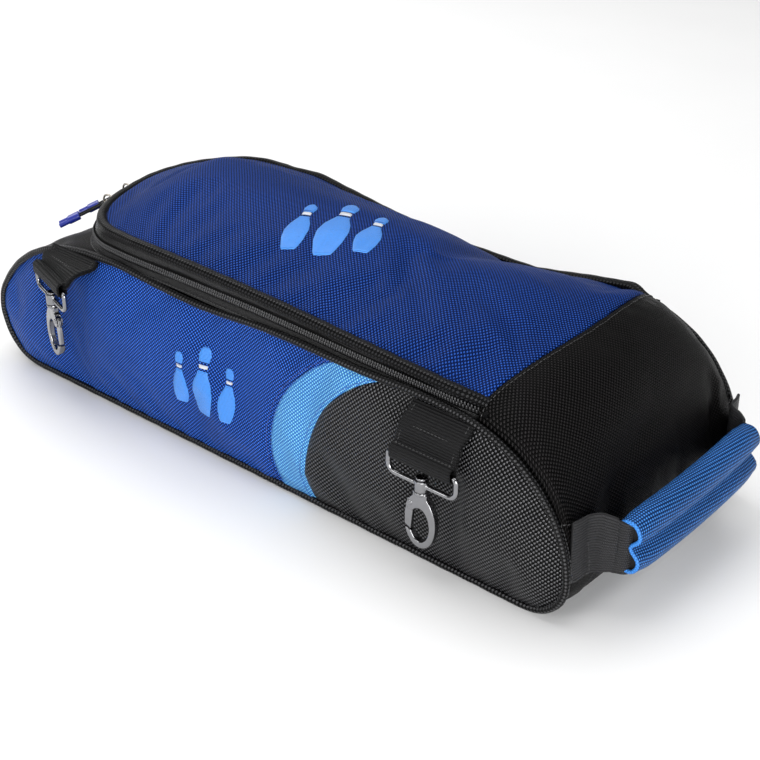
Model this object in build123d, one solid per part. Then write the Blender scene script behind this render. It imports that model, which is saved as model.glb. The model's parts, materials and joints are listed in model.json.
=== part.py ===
"""Clip-on shoe bag of a rolling bowling bag, lying on its back panel.

Frame: +X runs along the bag to the carry handle, +Y to its left side, +Z up.
The origin lies on the resting face, half way along the sewn body.  Millimetres.
"""
from build123d import *
import math
import os

# ---- sewn body ---------------------------------------------------------------------
BODY_HALF_WIDTH = 97.0       # half the width of the gussets, seam to seam
FABRIC = 4.0                 # padded gusset thickness
SIDE_FABRIC = 4.0            # padded side panel thickness
PIPING_R = 2.5               # fabric-covered piping cord
SIDE_TOP = 119.0             # height of the upper piping line
SEAM_LOW = PIPING_R          # height of the lower piping line
SEAM_GAP = 0.2               # side panel edge to piping

# the side outline is a chain of tangent lines and arcs in X and Z
NOSE_BIG_R = 125.0           # long droop over the nose
NOSE_SMALL_R = 38.0          # tight turn under the nose
NOSE_X = -267.0              # foremost point of the nose
END_BIG_R = 86.5             # shoulder over the handle end
END_SMALL_R = 30.0           # turn under the handle end
END_X = 265.0                # rearmost point of the handle end
END_TURN_Z = SEAM_LOW + END_SMALL_R

END_ROWS = (                 # handle end panel: half width, fold height, puff at the shoulder
    (97.0, 116.0, 0.0),
    (89.0, 130.0, 5.0),
    (55.0, 140.5, 8.0),
    (0.0, 146.0, 9.0),
)

BAND_FRONT = (117.0, 34.0, 91.0)   # front seam of the side band: centre X and Z, radius
BAND_BACK = (152.0, 28.0, 95.0)    # rear seam
FIELD = 400.0                      # length of the cutting field behind each seam

# ---- zip and lid -------------------------------------------------------------------
HINGE_X = 200.5              # fold between the lid and the handle end
ZIP_HEIGHT = 127.0           # zip centre line above X = 0
ZIP_SLOPE = -0.008           # rise of the zip line per mm of X
RIM_HEIGHT = 134.8           # lid rim above X = 0
RIM_SLOPE = -0.030           # rise of the lid rim per mm of X
WALL = 3.5                   # boxing thickness
TAPE = 0.8                   # zip tape thickness
COIL_THICK = 2.4             # coil, across the wall
COIL_WIDE = 2.6              # coil, up the wall
COIL_GAP = 0.5               # half the parting line between the two coils
TAPE_TOP = 5.0               # tape edge from the zip centre line
NOSE_ARC_R = 130.0           # lid outline over the nose, in plan
LID_NOSE_X = -203.0
CORNER_R = 45.0
WELT_R = 2.2                 # welt cord round the lid
LID_CROWN = 20.0             # rise of the lid across its width
LID_LONG_CROWN_X = 60.0      # highest section of the lid
LID_EDGE = 3.5               # edge thickness of the lid panel

# ---- snap clips --------------------------------------------------------------------
WEBBING = 48.0               # clip strap width
STRAP = 2.2                  # webbing thickness
WIRE_R = 1.8                 # bail wire
BAIL_WIDE = 53.4             # bail, wire centre to wire centre
BAIL_DEEP = 14.4
CLIP_OUT = 115.5             # bail bar from the centre plane
BOSS_R = 4.6
STEM_R = 2.5
RUNNING = 0.05               # radial running clearance
HOOK_PLATE = 4.8             # thickness of the hook
HOOK_HALF = 12.5             # half width of the hook
HOOK_LOW = 61.0              # hook tip below the bail bar
GATE_THICK = 2.8
GATE_PIN_R = 0.9
CLEAR = 0.35                 # between moving pieces
STRAP_TOP = 111.8            # strap end, just under the piping
STRAP_LOW = 104.0
STRAP_TURN = 107.0           # where the tab leaves the side panel
STRAP_RISE = (0, 12, 22)     # the tab leans in from the bar, in the frame of the clip
TAB_LIFT = 1.35              # start of the tab above the bore of the eye
EYE_PLAY = 0.15              # strap eye to bail bar
PANEL_PLAY = 0.05            # strap to side panel
CLIPS = {                    # name: X of the bar, side (+1 left), Z of the bar, yaw, lean, gate side
    "right_nose": (-183.0, -1, 96.0, -18.0, 14.0, 1),
    "right_handle": (166.0, -1, 84.5, 0.0, 5.0, -1),
    "left_nose": (-183.0, 1, 96.0, 18.0, 14.0, -1),
    "left_handle": (166.0, 1, 84.5, 0.0, 5.0, 1),
}

# ---- carry handle ------------------------------------------------------------------
HANDLE_Z = 54.0
HANDLE_STRAP = 46.0
HANDLE_AXIS_X = 270.0
HANDLE_HALF = 76.5           # half the span between the two strap legs
WRAP_X = 289.5
WRAP_LOBE_R = 11.0
WRAP_LOBE_Z = 10.0           # lobe centres above and below the handle centre
WRAP_HALF = 71.5
CROSS_HALF = 17.0            # half width of the webbing inside the wrap
LEG_START = 1.2              # webbing leg, from the fold line
LEG_TAPER = 13.0
LEG_ROOT_HALF = 4.0

# ---- zip sliders: angle from the nose, seen from above, towards the right side ------
SLIDERS = {"right": 15.8, "left": 6.0}
SLIDER_LONG = 13.0
PULL_LEAN = (-20, -25, -14)  # both pulls lean over the nose gusset, towards the right side
BAR_OUT = 6.6                # crown bar from the zip centre plane
BAR_R = 0.9
RING_R = 4.2
RING_WIRE_R = 0.8
RING_PLAY = 0.15
RING_DROP = 38.0             # the ring leans on the slider, this far below level
PLATE_HIGH = 9.6             # slider plate
PLATE_THICK = 1.6
PLATE_CORNER_R = 2.5
POST_X = 4.4                 # the two posts of the crown bar
POST_HALF = 1.1
DIAMOND = (3.5, 0.7)         # web between the two plates, along and across the zip
COIL_PLAY = 0.4
CORD_R = 0.8
CORD_LONG = 20.0
CORD_GAP = 1.5               # half the distance between the two cord legs
TIP_WIDE = 8.4               # rubber tip
TIP_THICK = 5.6
TIP_HEAD = 9.0
PRONG_R = 1.9
PRONG_X = 2.2


def polar(centre, radius, degrees):
    """Point on a circle; 0 degrees is along the first axis, 90 along the second."""
    a = math.radians(degrees)
    return (centre[0] + radius * math.cos(a), centre[1] + radius * math.sin(a))


def arc(centre, radius, start, end):
    """Arc through three exact points of a circle."""
    points = [polar(centre, radius, start + (end - start) * k) for k in (0, 0.5, 1)]
    return ThreePointArc(*points)


def side_outline(grow):
    """Side profile of the bag in X and Z, grown outwards from the piping line."""
    nose_low = (NOSE_X + NOSE_SMALL_R, SEAM_LOW + NOSE_SMALL_R)
    drop = SIDE_TOP - NOSE_BIG_R
    turn = math.degrees(math.asin((nose_low[1] - drop) / (NOSE_BIG_R - NOSE_SMALL_R)))
    reach = (NOSE_BIG_R - NOSE_SMALL_R) * math.cos(math.radians(turn))
    nose_big = (nose_low[0] + reach, drop)
    end_low = (END_X - END_SMALL_R, END_TURN_Z)
    end_big = (END_X - END_BIG_R, END_TURN_Z)
    edges = [
        Line((nose_low[0], SEAM_LOW - grow), (end_low[0], SEAM_LOW - grow)),
        arc(end_low, END_SMALL_R + grow, -90, 0),
        arc(end_big, END_BIG_R + grow, 0, 90),
        Line((end_big[0], SIDE_TOP + grow), (nose_big[0], SIDE_TOP + grow)),
        arc(nose_big, NOSE_BIG_R + grow, 90, 180 - turn),
        arc(nose_low, NOSE_SMALL_R + grow, 180 - turn, 270),
    ]
    return Wire(edges)


def across(face, low, high):
    """Extrude an X-Z face between two Y positions."""
    return extrude(Plane.XZ.offset(-high) * face, high - low, dir=(0, -1, 0))


def body_block(grow, half=BODY_HALF_WIDTH):
    return across(Face(side_outline(grow)), -half, half)


def span(x0, x1, y0, y1, z0, z1):
    """Box between two corners."""
    box = Box(x1 - x0, y1 - y0, z1 - z0)
    return Pos((x0 + x1) / 2, (y0 + y1) / 2, (z0 + z1) / 2) * box


def sloping(height, slope):
    """Plane across the bag that rises along X by the given slope."""
    angle = math.atan(slope)
    normal = (-math.sin(angle), 0, math.cos(angle))
    return Plane(origin=(0, 0, height), x_dir=(math.cos(angle), 0, math.sin(angle)), z_dir=normal)


ZIP_PLANE = sloping(ZIP_HEIGHT, ZIP_SLOPE)
RIM_PLANE = sloping(RIM_HEIGHT, RIM_SLOPE)


def lid_wire_edges(grow, end_x):
    """Edges of the open U of the lid outline, from the right end round to the left."""
    nose = (LID_NOSE_X + NOSE_ARC_R, 0)
    corner_y = BODY_HALF_WIDTH - CORNER_R
    corner_x = nose[0] - math.sqrt((NOSE_ARC_R - CORNER_R) ** 2 - corner_y ** 2)
    swing = math.degrees(math.atan2(corner_y, nose[0] - corner_x))
    half = BODY_HALF_WIDTH + grow
    return [
        Line((end_x, -half), (corner_x, -half)),
        arc((corner_x, -corner_y), CORNER_R + grow, 270, 180 + swing),
        arc(nose, NOSE_ARC_R + grow, 180 + swing, 180 - swing),
        arc((corner_x, corner_y), CORNER_R + grow, 180 - swing, 90),
        Line((corner_x, half), (end_x, half)),
    ]


def lid_face(grow, end_x=HINGE_X - 1):
    half = BODY_HALF_WIDTH + grow
    closing = Line((end_x, half), (end_x, -half))
    return Face(Wire(lid_wire_edges(grow, end_x) + [closing]))


def lid_prism(plane, grow, low, high, end_x=HINGE_X - 1):
    """Solid inside the lid outline between two heights over a plane."""
    return extrude(plane.offset(low) * lid_face(grow, end_x), high - low, dir=plane.z_dir)


def lid_ring(plane, outer, inner, low, high, end_x=HINGE_X - 1):
    """U-shaped wall that follows the lid outline."""
    return lid_prism(plane, outer, low, high, end_x) - lid_prism(plane, inner, low, high, end_x)


# ---- sewn body pieces ---------------------------------------------------------------
def end_section(y, top, puff, skin, depth):
    """Section at one Y of a layer over the handle end, from skin to depth under the surface."""
    low = (END_X - END_SMALL_R, END_TURN_Z)
    shoulder = polar((END_X - END_BIG_R, END_TURN_Z), END_BIG_R + puff, 38)

    def line(inset):
        down = math.radians(-45)
        mouth = (HINGE_X + 0.5, top - inset)
        bend = (shoulder[0] - inset * 0.79, shoulder[1] - inset * 0.61)
        belly = (END_X + puff / 3 - inset, END_TURN_Z)
        turn_r = END_SMALL_R - inset
        turn = (low[0] + turn_r * math.cos(down), low[1] + turn_r * math.sin(down))
        foot = (low[0], SEAM_LOW + inset)
        return ThreePointArc(mouth, bend, belly), ThreePointArc(belly, turn, foot), mouth, foot

    outer, inner = line(skin), line(depth)
    edges = [outer[0], outer[1], Line(outer[3], inner[3]), inner[1], inner[0], Line(inner[2], outer[2])]
    return Plane.XZ.offset(-y) * Wire(edges)


def end_layer(skin, depth):
    """Puffed layer from the fold, over the handle end, down to the back panel."""
    rows = []
    for y, top, puff in END_ROWS:
        rows.append(end_section(y, top, puff, skin, depth))
        if y:
            rows.append(end_section(-y, top, puff, skin, depth))
    rows.sort(key=lambda wire: wire.center().Y)
    return Solid.make_loft(rows, ruled=True)


def make_body_panels():
    ring = body_block(0) - body_block(-FABRIC)
    half = BODY_HALF_WIDTH
    nose_cut = NOSE_X + NOSE_SMALL_R
    end_cut = END_X - END_SMALL_R
    top_cut = lid_prism(ZIP_PLANE, 0, -40, 40)
    nose_side = span(NOSE_X - 5, nose_cut, -half, half, -5, 200)
    upper_nose = span(nose_cut, 0, -half, half, 60, 200)
    pieces = {
        "back_panel": span(nose_cut, end_cut, -half, half, 0, FABRIC),
        "end_gusset": ring & (nose_side + upper_nose) - top_cut,
        "handle_end_panel": end_layer(0, FABRIC),
    }
    pieces["base_board"] = span(nose_cut + 2, end_cut - 2, 2 - half, half - 2, FABRIC, FABRIC + 3)
    wall = lid_ring(ZIP_PLANE, 0, -WALL, -40, -TAPE_TOP)
    pieces["lower_boxing"] = wall - body_block(-FABRIC - 1)
    return pieces


def behind(seam):
    """Everything on the handle side of a round band seam."""
    x, z, radius = seam
    return Pos(x, z) * Circle(radius) + Pos(x + FIELD / 2, z) * Rectangle(FIELD, FIELD)


def make_side(side):
    """Three flat pieces of one side panel, parted by the two curved band seams."""
    inner = BODY_HALF_WIDTH
    low, high = (inner, inner + SIDE_FABRIC) if side > 0 else (-inner - SIDE_FABRIC, -inner)
    face = Face(side_outline(-PIPING_R - SEAM_GAP))
    front, back = behind(BAND_FRONT), behind(BAND_BACK)
    name = "left" if side > 0 else "right"
    return {
        f"{name}_side_blue": across(face - front, low, high),
        f"{name}_side_band": across((face & front) - back, low, high),
        f"{name}_side_black": across(face & back, low, high),
    }


def make_piping(side):
    path = Plane.XZ.offset(-side * (BODY_HALF_WIDTH + PIPING_R)) * side_outline(0)
    section = Plane(origin=path @ 0, z_dir=path % 0) * Circle(PIPING_R)
    return sweep(section, path=path)


def make_zip():
    mid = -WALL / 2
    lower_tape = lid_ring(ZIP_PLANE, mid + TAPE / 2, mid - TAPE / 2, -TAPE_TOP, -COIL_GAP - COIL_WIDE)
    upper_tape = lid_ring(ZIP_PLANE, mid + TAPE / 2, mid - TAPE / 2, COIL_GAP + COIL_WIDE, TAPE_TOP)
    coil = (mid + COIL_THICK / 2, mid - COIL_THICK / 2)
    end = HINGE_X - 4
    above_rim = lid_prism(RIM_PLANE, 5, 0, 60, HINGE_X + 40)
    pieces = {
        "lower_zip_tape": lower_tape,
        "upper_zip_tape": upper_tape - above_rim,
        "lower_zip_coil": lid_ring(ZIP_PLANE, *coil, -COIL_GAP - COIL_WIDE, -COIL_GAP, end),
        "upper_zip_coil": lid_ring(ZIP_PLANE, *coil, COIL_GAP, COIL_GAP + COIL_WIDE, end) - above_rim,
    }
    return pieces


def make_zip_stops():
    """Sewn end stops, one on each lower tape, beyond the coil."""
    y = BODY_HALF_WIDTH - WALL / 2
    stop = Box(3, COIL_THICK, COIL_WIDE)
    places = [ZIP_PLANE.location * Pos(HINGE_X - 2.4, s * y, -COIL_GAP - COIL_WIDE / 2) for s in (-1, 1)]
    return Compound(children=[place * stop for place in places])


# ---- lid ----------------------------------------------------------------------------
def dome(shrink, grow):
    """Space under the lid skin: crowned across and along, over the rim plane."""
    half = BODY_HALF_WIDTH - WALL - 1
    rise = LID_CROWN
    across_r = (half ** 2 + rise ** 2) / (2 * rise)
    reach = LID_LONG_CROWN_X - LID_NOSE_X
    along_r = (reach ** 2 + rise ** 2) / (2 * rise)
    top = rise + LID_EDGE
    along_x = Pos(0, 0, top - across_r) * Rot(0, 90, 0) * Cylinder(across_r - shrink, 700)
    along_y = Pos(LID_LONG_CROWN_X, 0, top - along_r) * Rot(90, 0, 0) * Cylinder(along_r - shrink, 400)
    block = extrude(Plane.XY.offset(0.2 if shrink == 0 else -5) * lid_face(grow), 40, dir=(0, 0, 1))
    return RIM_PLANE.location * (block & along_x & along_y)


def make_lid():
    panel = dome(0, -2 * WELT_R) - dome(LID_EDGE, -2 * WELT_R - 6)
    boxing = lid_ring(ZIP_PLANE, 0, -WALL, TAPE_TOP, 40) - lid_prism(RIM_PLANE, 5, 0, 60, HINGE_X + 40)
    edges = [RIM_PLANE.offset(WELT_R) * edge for edge in lid_wire_edges(-WELT_R + 0.2, HINGE_X - 1)]
    path = Wire(edges)
    welt = sweep(Plane(origin=path @ 0, z_dir=path % 0) * Circle(WELT_R), path=path)
    return {"lid_panel": panel, "lid_boxing": boxing, "lid_welt": welt}


# ---- zip sliders and pulls ----------------------------------------------------------
def slider_frame(angle):
    """Frame on the zip centre line: X along the travel, Y outwards, Z up the wall."""
    a = math.radians(180 + angle)
    r = NOSE_ARC_R - WALL / 2
    nose_x = LID_NOSE_X + NOSE_ARC_R
    out = Vector(math.cos(a), math.sin(a), 0)
    foot = Vector(nose_x + r * math.cos(a), r * math.sin(a), 0)
    foot.Z = ZIP_HEIGHT + ZIP_SLOPE * foot.X
    up = ZIP_PLANE.z_dir
    travel = out.cross(up)
    return Plane(origin=foot, x_dir=travel, z_dir=up)


def make_slider(angle):
    """Two plates joined by the diamond, with the crown bar for the pull ring outside."""
    gap = COIL_THICK / 2 + COIL_PLAY
    plate = extrude(RectangleRounded(SLIDER_LONG, PLATE_HIGH, PLATE_CORNER_R), PLATE_THICK)
    front = Plane(origin=(0, gap, 0), x_dir=(1, 0, 0), z_dir=(0, 1, 0)).location * plate
    rear = Plane(origin=(0, -gap - PLATE_THICK, 0), x_dir=(1, 0, 0), z_dir=(0, 1, 0)).location * plate
    diamond = Box(DIAMOND[0], 2 * gap + 0.4, DIAMOND[1])
    posts = [span(x - BAR_R, x + BAR_R, gap + PLATE_THICK - 0.1, BAR_OUT + BAR_R, -POST_HALF, POST_HALF)
             for x in (-POST_X, POST_X)]
    bar = Pos(0, BAR_OUT, 0) * Rot(0, 90, 0) * Cylinder(BAR_R, 2 * POST_X)
    return slider_frame(angle).location * (front + rear + diamond + posts[0] + posts[1] + bar)


def pull_line(angle):
    """Start under the crown bar and unit direction of a pull that lies on the nose gusset."""
    reach = 2 * RING_R - BAR_R - RING_WIRE_R - RING_PLAY
    drop = math.radians(RING_DROP)
    local = Vector(0, BAR_OUT + reach * math.cos(drop), -reach * math.sin(drop))
    start = (slider_frame(angle).location * Pos(local)).position
    return start, Vector(*PULL_LEAN).normalized()


def make_pull(angle):
    """Ring on the crown bar, cord loop and two-pronged rubber tip."""
    reach = RING_R - BAR_R - RING_WIRE_R - RING_PLAY
    drop = math.radians(RING_DROP)
    centre = Pos(0, BAR_OUT + reach * math.cos(drop), -reach * math.sin(drop))
    ring = slider_frame(angle).location * centre * Rot(0, 90, 0) * Torus(RING_R, RING_WIRE_R)
    start, direction = pull_line(angle)
    flat = Vector(0, 0, 1).cross(direction).normalized()
    begin = start + direction * (RING_WIRE_R + CORD_R + 0.1)
    cord = Plane(origin=begin, x_dir=flat, z_dir=direction).location * Box(
        2 * (CORD_GAP + CORD_R), 2 * CORD_R, 2 * CORD_R)
    for sign in (-1, 1):
        leg = Plane(origin=begin + flat * (CORD_GAP * sign), z_dir=direction)
        cord = cord + leg.location * Pos(0, 0, CORD_LONG / 2) * Cylinder(CORD_R, CORD_LONG)
    tip_plane = Plane(origin=begin + direction * CORD_LONG, x_dir=flat, z_dir=direction)
    head = extrude(RectangleRounded(TIP_WIDE, TIP_THICK, TIP_THICK / 2 - 0.2), TIP_HEAD)
    prong = Cylinder(PRONG_R, TIP_HEAD, align=(Align.CENTER, Align.CENTER, Align.MIN))
    prongs = [Pos(x, 0, TIP_HEAD - 1) * prong for x in (-PRONG_X, PRONG_X)]
    tip = tip_plane.location * (head + prongs[0] + prongs[1])
    return {"pull_ring": ring, "pull_cord": cord, "pull_tip": tip}


# ---- snap clips: local X along the bail bar, local -Y outwards, local Z up ----------
def clip_place(name):
    x, side, up, yaw, _, _ = CLIPS[name]
    turn = 180 if side > 0 else 0
    return Pos(x, side * CLIP_OUT, up) * Rot(0, 0, turn + yaw)


def make_strap(name):
    """Folded webbing tab: eye round the bar, twisted tab, end sewn under the piping."""
    x, side, _, _, lean, _ = CLIPS[name]
    place = clip_place(name)
    up = Vector(*STRAP_RISE).normalized()
    bore = WIRE_R + EYE_PLAY
    eye = Rot(0, 90, 0) * (Cylinder(bore + STRAP, WEBBING) - Cylinder(bore, WEBBING + 1))
    low = Plane(origin=up * (bore + TAB_LIFT), x_dir=(1, 0, 0), z_dir=up)
    low_face = place * (low * Rectangle(WEBBING, 2 * STRAP))
    panel = BODY_HALF_WIDTH + SIDE_FABRIC + PANEL_PLAY
    high = Plane(origin=(x + lean, side * (panel + STRAP), STRAP_TURN), x_dir=(1, 0, 0), z_dir=(0, 0, 1))
    high_face = high * Rectangle(WEBBING, 2 * STRAP)
    tab = Solid.make_loft([low_face.face().outer_wire(), high_face.face().outer_wire()], ruled=True)
    foot_y = side * (panel + STRAP / 2)
    foot = span(x + lean - WEBBING / 2, x + lean + WEBBING / 2,
                foot_y - STRAP / 2, foot_y + STRAP / 2, STRAP_LOW, STRAP_TOP)
    return (place * eye) + tab + foot


def make_bail():
    half = BAIL_WIDE / 2
    top_r, low_r = 2.5, 6.0
    path = Plane.XZ * Wire([
        Line((top_r - half, 0), (half - top_r, 0)),
        arc((half - top_r, -top_r), top_r, 90, 0),
        Line((half, -top_r), (half, low_r - BAIL_DEEP)),
        arc((half - low_r, low_r - BAIL_DEEP), low_r, 0, -90),
        Line((half - low_r, -BAIL_DEEP), (low_r - half, -BAIL_DEEP)),
        arc((low_r - half, low_r - BAIL_DEEP), low_r, 270, 180),
        Line((-half, low_r - BAIL_DEEP), (-half, -top_r)),
        arc((top_r - half, -top_r), top_r, 180, 90),
    ])
    wire = sweep(Plane(origin=path @ 0, z_dir=path % 0) * Circle(WIRE_R), path=path)
    boss = Pos(0, 0, -BAIL_DEEP) * Cylinder(BOSS_R, 8)
    return (wire + boss) - Pos(0, 0, -BAIL_DEEP) * Cylinder(STEM_R + RUNNING, 30)


GATE_PIVOT = (-7.4, -29.5)   # gate pin, for a gate on the -X side
GATE_TIP_Z = -50.5
GATE_OUT = -12.2             # outer edge of the gate
GATE_ROOT_R = 3.0
GATE_SHOULDER = 9.0          # straight outer edge starts this far below the pin
GATE_TIP_RISE = 3.0          # chamfer at the outer corner of the tip
GATE_TIP_X = -7.6            # inner corner of the tip
GATE_ROOT_IN = (2.2, 1.0)    # inner corner of the root, from the pin
GATE_OPEN = 24.0             # degrees, tip into the hook eye
SPRING_Y = GATE_THICK / 2 + CLEAR + 0.45
SPRING_R = 2.1
SPRING_LONG = 0.8
HOOK_MID_Z = -41.25          # middle of the round part of the hook
HOOK_EYE = (0, -44.0, 7.6, 12.5)    # middle and half sizes of the eye
NECK = (0, -23.5, 11, 7)     # middle and sizes of the neck
SLOT_SIDE = (-14, -40, 7, 18)       # gate slot, open to the outside of the hook
SLOT_REACH = (0, -31, 40, 42)       # the slot stays inside this area
MOUTH = (-10, -44.5, 20, 19)
OUTSIDE = (-14.6, -41, 10, 17)
STEM = (-15.4, 11)           # middle and length of the swivel stem, its head and its collar
STEM_HEAD = (-9.3, 1.8)
COLLAR = (-19.9, 2.6)
THROUGH = 20                 # longer than any pin hole


def area(place):
    """Rectangle from its middle and its sizes."""
    return Pos(*place[:2]) * Rectangle(*place[2:])


def facing(face, thick, offset=0.0):
    """Extrude an X-Z face symmetrically about Y = offset."""
    return across(face, offset - thick / 2, offset + thick / 2)


def gate_face(grow):
    """Tapered gate: round root on the pin, straight outer edge down to the nose seat."""
    root = Pos(*GATE_PIVOT) * Circle(GATE_ROOT_R + grow)
    blade = Polygon(
        (GATE_PIVOT[0] - GATE_ROOT_R - grow, GATE_PIVOT[1]),
        (GATE_OUT - grow, GATE_PIVOT[1] - GATE_SHOULDER),
        (GATE_OUT - grow, GATE_TIP_Z + GATE_TIP_RISE - grow),
        (GATE_TIP_X + grow, GATE_TIP_Z - grow),
        (GATE_PIVOT[0] + GATE_ROOT_IN[0] + grow, GATE_PIVOT[1] - GATE_ROOT_IN[1]),
        align=None,
    )
    return root + blade


def make_hook():
    """Swivel stem, teardrop body and open hook, gate on the -X side."""
    outer = Pos(0, HOOK_MID_Z) * Ellipse(HOOK_HALF, HOOK_LOW + HOOK_MID_Z)
    neck = area(NECK)
    eye = Pos(*HOOK_EYE[:2]) * Ellipse(*HOOK_EYE[2:])
    plate = facing(outer + neck - eye, HOOK_PLATE)
    pivot = Pos(*GATE_PIVOT)
    swept = [pivot * Rot(0, 0, turn) * Pos(-GATE_PIVOT[0], -GATE_PIVOT[1]) * gate_face(CLEAR)
             for turn in range(-1, int(GATE_OPEN) + 2)]
    slot_face = area(SLOT_SIDE)
    for face in swept:
        slot_face = slot_face + face
    slot = facing(slot_face & area(SLOT_REACH), GATE_THICK + 2 * CLEAR)
    mouth = facing(gate_face(CLEAR) & area(MOUTH), 2 * HOOK_PLATE)
    outside = facing(area(OUTSIDE), 2 * HOOK_PLATE)
    rim = plate - slot - mouth - outside
    spring_pocket = facing(Pos(*GATE_PIVOT) * Circle(SPRING_R + 0.2), SPRING_LONG + 0.2, SPRING_Y)
    stem = Pos(0, 0, STEM[0]) * Cylinder(STEM_R, STEM[1])
    head = Pos(0, 0, STEM_HEAD[0]) * Cylinder(BOSS_R - 0.8, STEM_HEAD[1])
    collar = Pos(0, 0, COLLAR[0]) * Cylinder(BOSS_R, COLLAR[1])
    pin_hole = facing(Pos(*GATE_PIVOT) * Circle(GATE_PIN_R), THROUGH)
    return rim - spring_pocket + stem + head + collar - pin_hole


def make_gate():
    blade = facing(gate_face(0), GATE_THICK)
    return blade - facing(Pos(*GATE_PIVOT) * Circle(GATE_PIN_R + RUNNING), THROUGH)


def make_gate_pin():
    return facing(Pos(*GATE_PIVOT) * Circle(GATE_PIN_R), HOOK_PLATE)


def make_gate_spring():
    """Torsion spring round the pin, as its outer tube."""
    ring = Circle(SPRING_R) - Circle(GATE_PIN_R + 0.1)
    return facing(Pos(*GATE_PIVOT) * ring, SPRING_LONG, SPRING_Y)


def make_clip(name):
    gate_side = CLIPS[name][5]
    place = clip_place(name)
    pieces = {"bail": make_bail(), "hook": make_hook(), "gate": make_gate(),
              "gate_pin": make_gate_pin(), "gate_spring": make_gate_spring()}
    local_side = gate_side * (-1 if CLIPS[name][1] > 0 else 1)
    if local_side > 0:
        pieces = {key: mirror(piece, about=Plane.YZ) for key, piece in pieces.items()}
    return {key: place * piece for key, piece in pieces.items()}


# ---- carry handle -------------------------------------------------------------------
def make_handle():
    half = HANDLE_STRAP / 2
    shell = end_layer(-STRAP, 1) - end_layer(0, 2)
    anchors = {}
    for name, side in (("right", -1), ("left", 1)):
        y0, y1 = sorted((side * (HANDLE_HALF - 1), side * (BODY_HALF_WIDTH - 0.5)))
        window = span(200, 300, y0, y1, HANDLE_Z - half, HANDLE_Z + half)
        anchors[f"{name}_handle_anchor"] = shell & window
    cross_half = CROSS_HALF
    webbing = span(WRAP_X - STRAP / 2, WRAP_X + STRAP / 2, -HANDLE_HALF, HANDLE_HALF,
                   HANDLE_Z - cross_half, HANDLE_Z + cross_half)
    root = HANDLE_AXIS_X + LEG_START
    leg = Polygon((root, HANDLE_Z - LEG_ROOT_HALF), (root + LEG_TAPER, HANDLE_Z - cross_half),
                  (WRAP_X, HANDLE_Z - cross_half), (WRAP_X, HANDLE_Z + cross_half),
                  (root + LEG_TAPER, HANDLE_Z + cross_half), (root, HANDLE_Z + LEG_ROOT_HALF),
                  align=None)
    for side in (-1, 1):
        low, high = sorted((side * HANDLE_HALF, side * (HANDLE_HALF - STRAP)))
        webbing = webbing + across(leg, low, high)
    lobes = [Pos(WRAP_X, HANDLE_Z + s * WRAP_LOBE_Z) * Circle(WRAP_LOBE_R) for s in (-1, 1)]
    wrap = across(lobes[0] + lobes[1], -WRAP_HALF, WRAP_HALF) - webbing
    return {**anchors, "handle_webbing": webbing, "handle_wrap": wrap}


def make_all():
    parts = make_body_panels()
    parts |= make_zip()
    parts["zip_stops"] = make_zip_stops()
    parts |= make_lid()
    for name, side in (("right", -1), ("left", 1)):
        parts |= make_side(side)
        parts[f"{name}_piping"] = make_piping(side)
    for name, angle in SLIDERS.items():
        parts[f"{name}_zip_slider"] = make_slider(angle)
        parts |= {f"{name}_{key}": piece for key, piece in make_pull(angle).items()}
    for name in CLIPS:
        parts[f"{name}_strap"] = make_strap(name)
        parts |= {f"{name}_{key}": piece for key, piece in make_clip(name).items()}
    parts |= make_handle()
    return parts


if __name__ == "__main__":
    os.makedirs("parts", exist_ok=True)
    for node, shape in make_all().items():
        export_step(shape, f"parts/{node}.step")
        print(node, round(shape.volume, 1))
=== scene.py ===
"""Looks of the clip-on shoe bag: padded panels, zip, webbing, clips and handle.

Shapes are written in millimetres and turned into metres when a mesh is made.
"""
import json
import math

import bpy
import numpy as np
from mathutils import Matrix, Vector
from mathutils.bvhtree import BVHTree

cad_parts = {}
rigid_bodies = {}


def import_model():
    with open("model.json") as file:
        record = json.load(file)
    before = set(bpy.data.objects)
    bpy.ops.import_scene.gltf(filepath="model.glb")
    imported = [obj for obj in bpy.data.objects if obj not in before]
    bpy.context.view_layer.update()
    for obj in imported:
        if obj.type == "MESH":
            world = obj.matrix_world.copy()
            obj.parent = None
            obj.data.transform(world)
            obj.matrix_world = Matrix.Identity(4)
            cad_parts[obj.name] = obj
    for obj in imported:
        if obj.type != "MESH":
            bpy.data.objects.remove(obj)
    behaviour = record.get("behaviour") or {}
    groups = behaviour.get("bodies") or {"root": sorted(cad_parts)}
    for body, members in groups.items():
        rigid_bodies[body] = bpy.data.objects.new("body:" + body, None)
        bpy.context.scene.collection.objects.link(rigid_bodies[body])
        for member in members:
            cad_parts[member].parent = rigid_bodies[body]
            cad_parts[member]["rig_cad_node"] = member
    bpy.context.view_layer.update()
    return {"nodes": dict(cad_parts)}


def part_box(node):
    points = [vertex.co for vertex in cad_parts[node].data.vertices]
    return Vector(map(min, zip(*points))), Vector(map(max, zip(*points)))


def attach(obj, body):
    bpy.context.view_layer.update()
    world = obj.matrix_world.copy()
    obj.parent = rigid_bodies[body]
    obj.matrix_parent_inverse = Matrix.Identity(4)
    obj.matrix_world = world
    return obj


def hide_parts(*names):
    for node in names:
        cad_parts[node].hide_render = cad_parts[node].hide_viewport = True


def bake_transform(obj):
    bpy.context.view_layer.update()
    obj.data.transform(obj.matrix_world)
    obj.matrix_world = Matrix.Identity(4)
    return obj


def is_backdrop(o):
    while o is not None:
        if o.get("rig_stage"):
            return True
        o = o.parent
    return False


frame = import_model()
NODES = frame["nodes"]
MM = 0.001
SIM_STEPS = 16               # frames of each cloth simulation
THREAD_R = 0.34              # radius of a stitch

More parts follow.
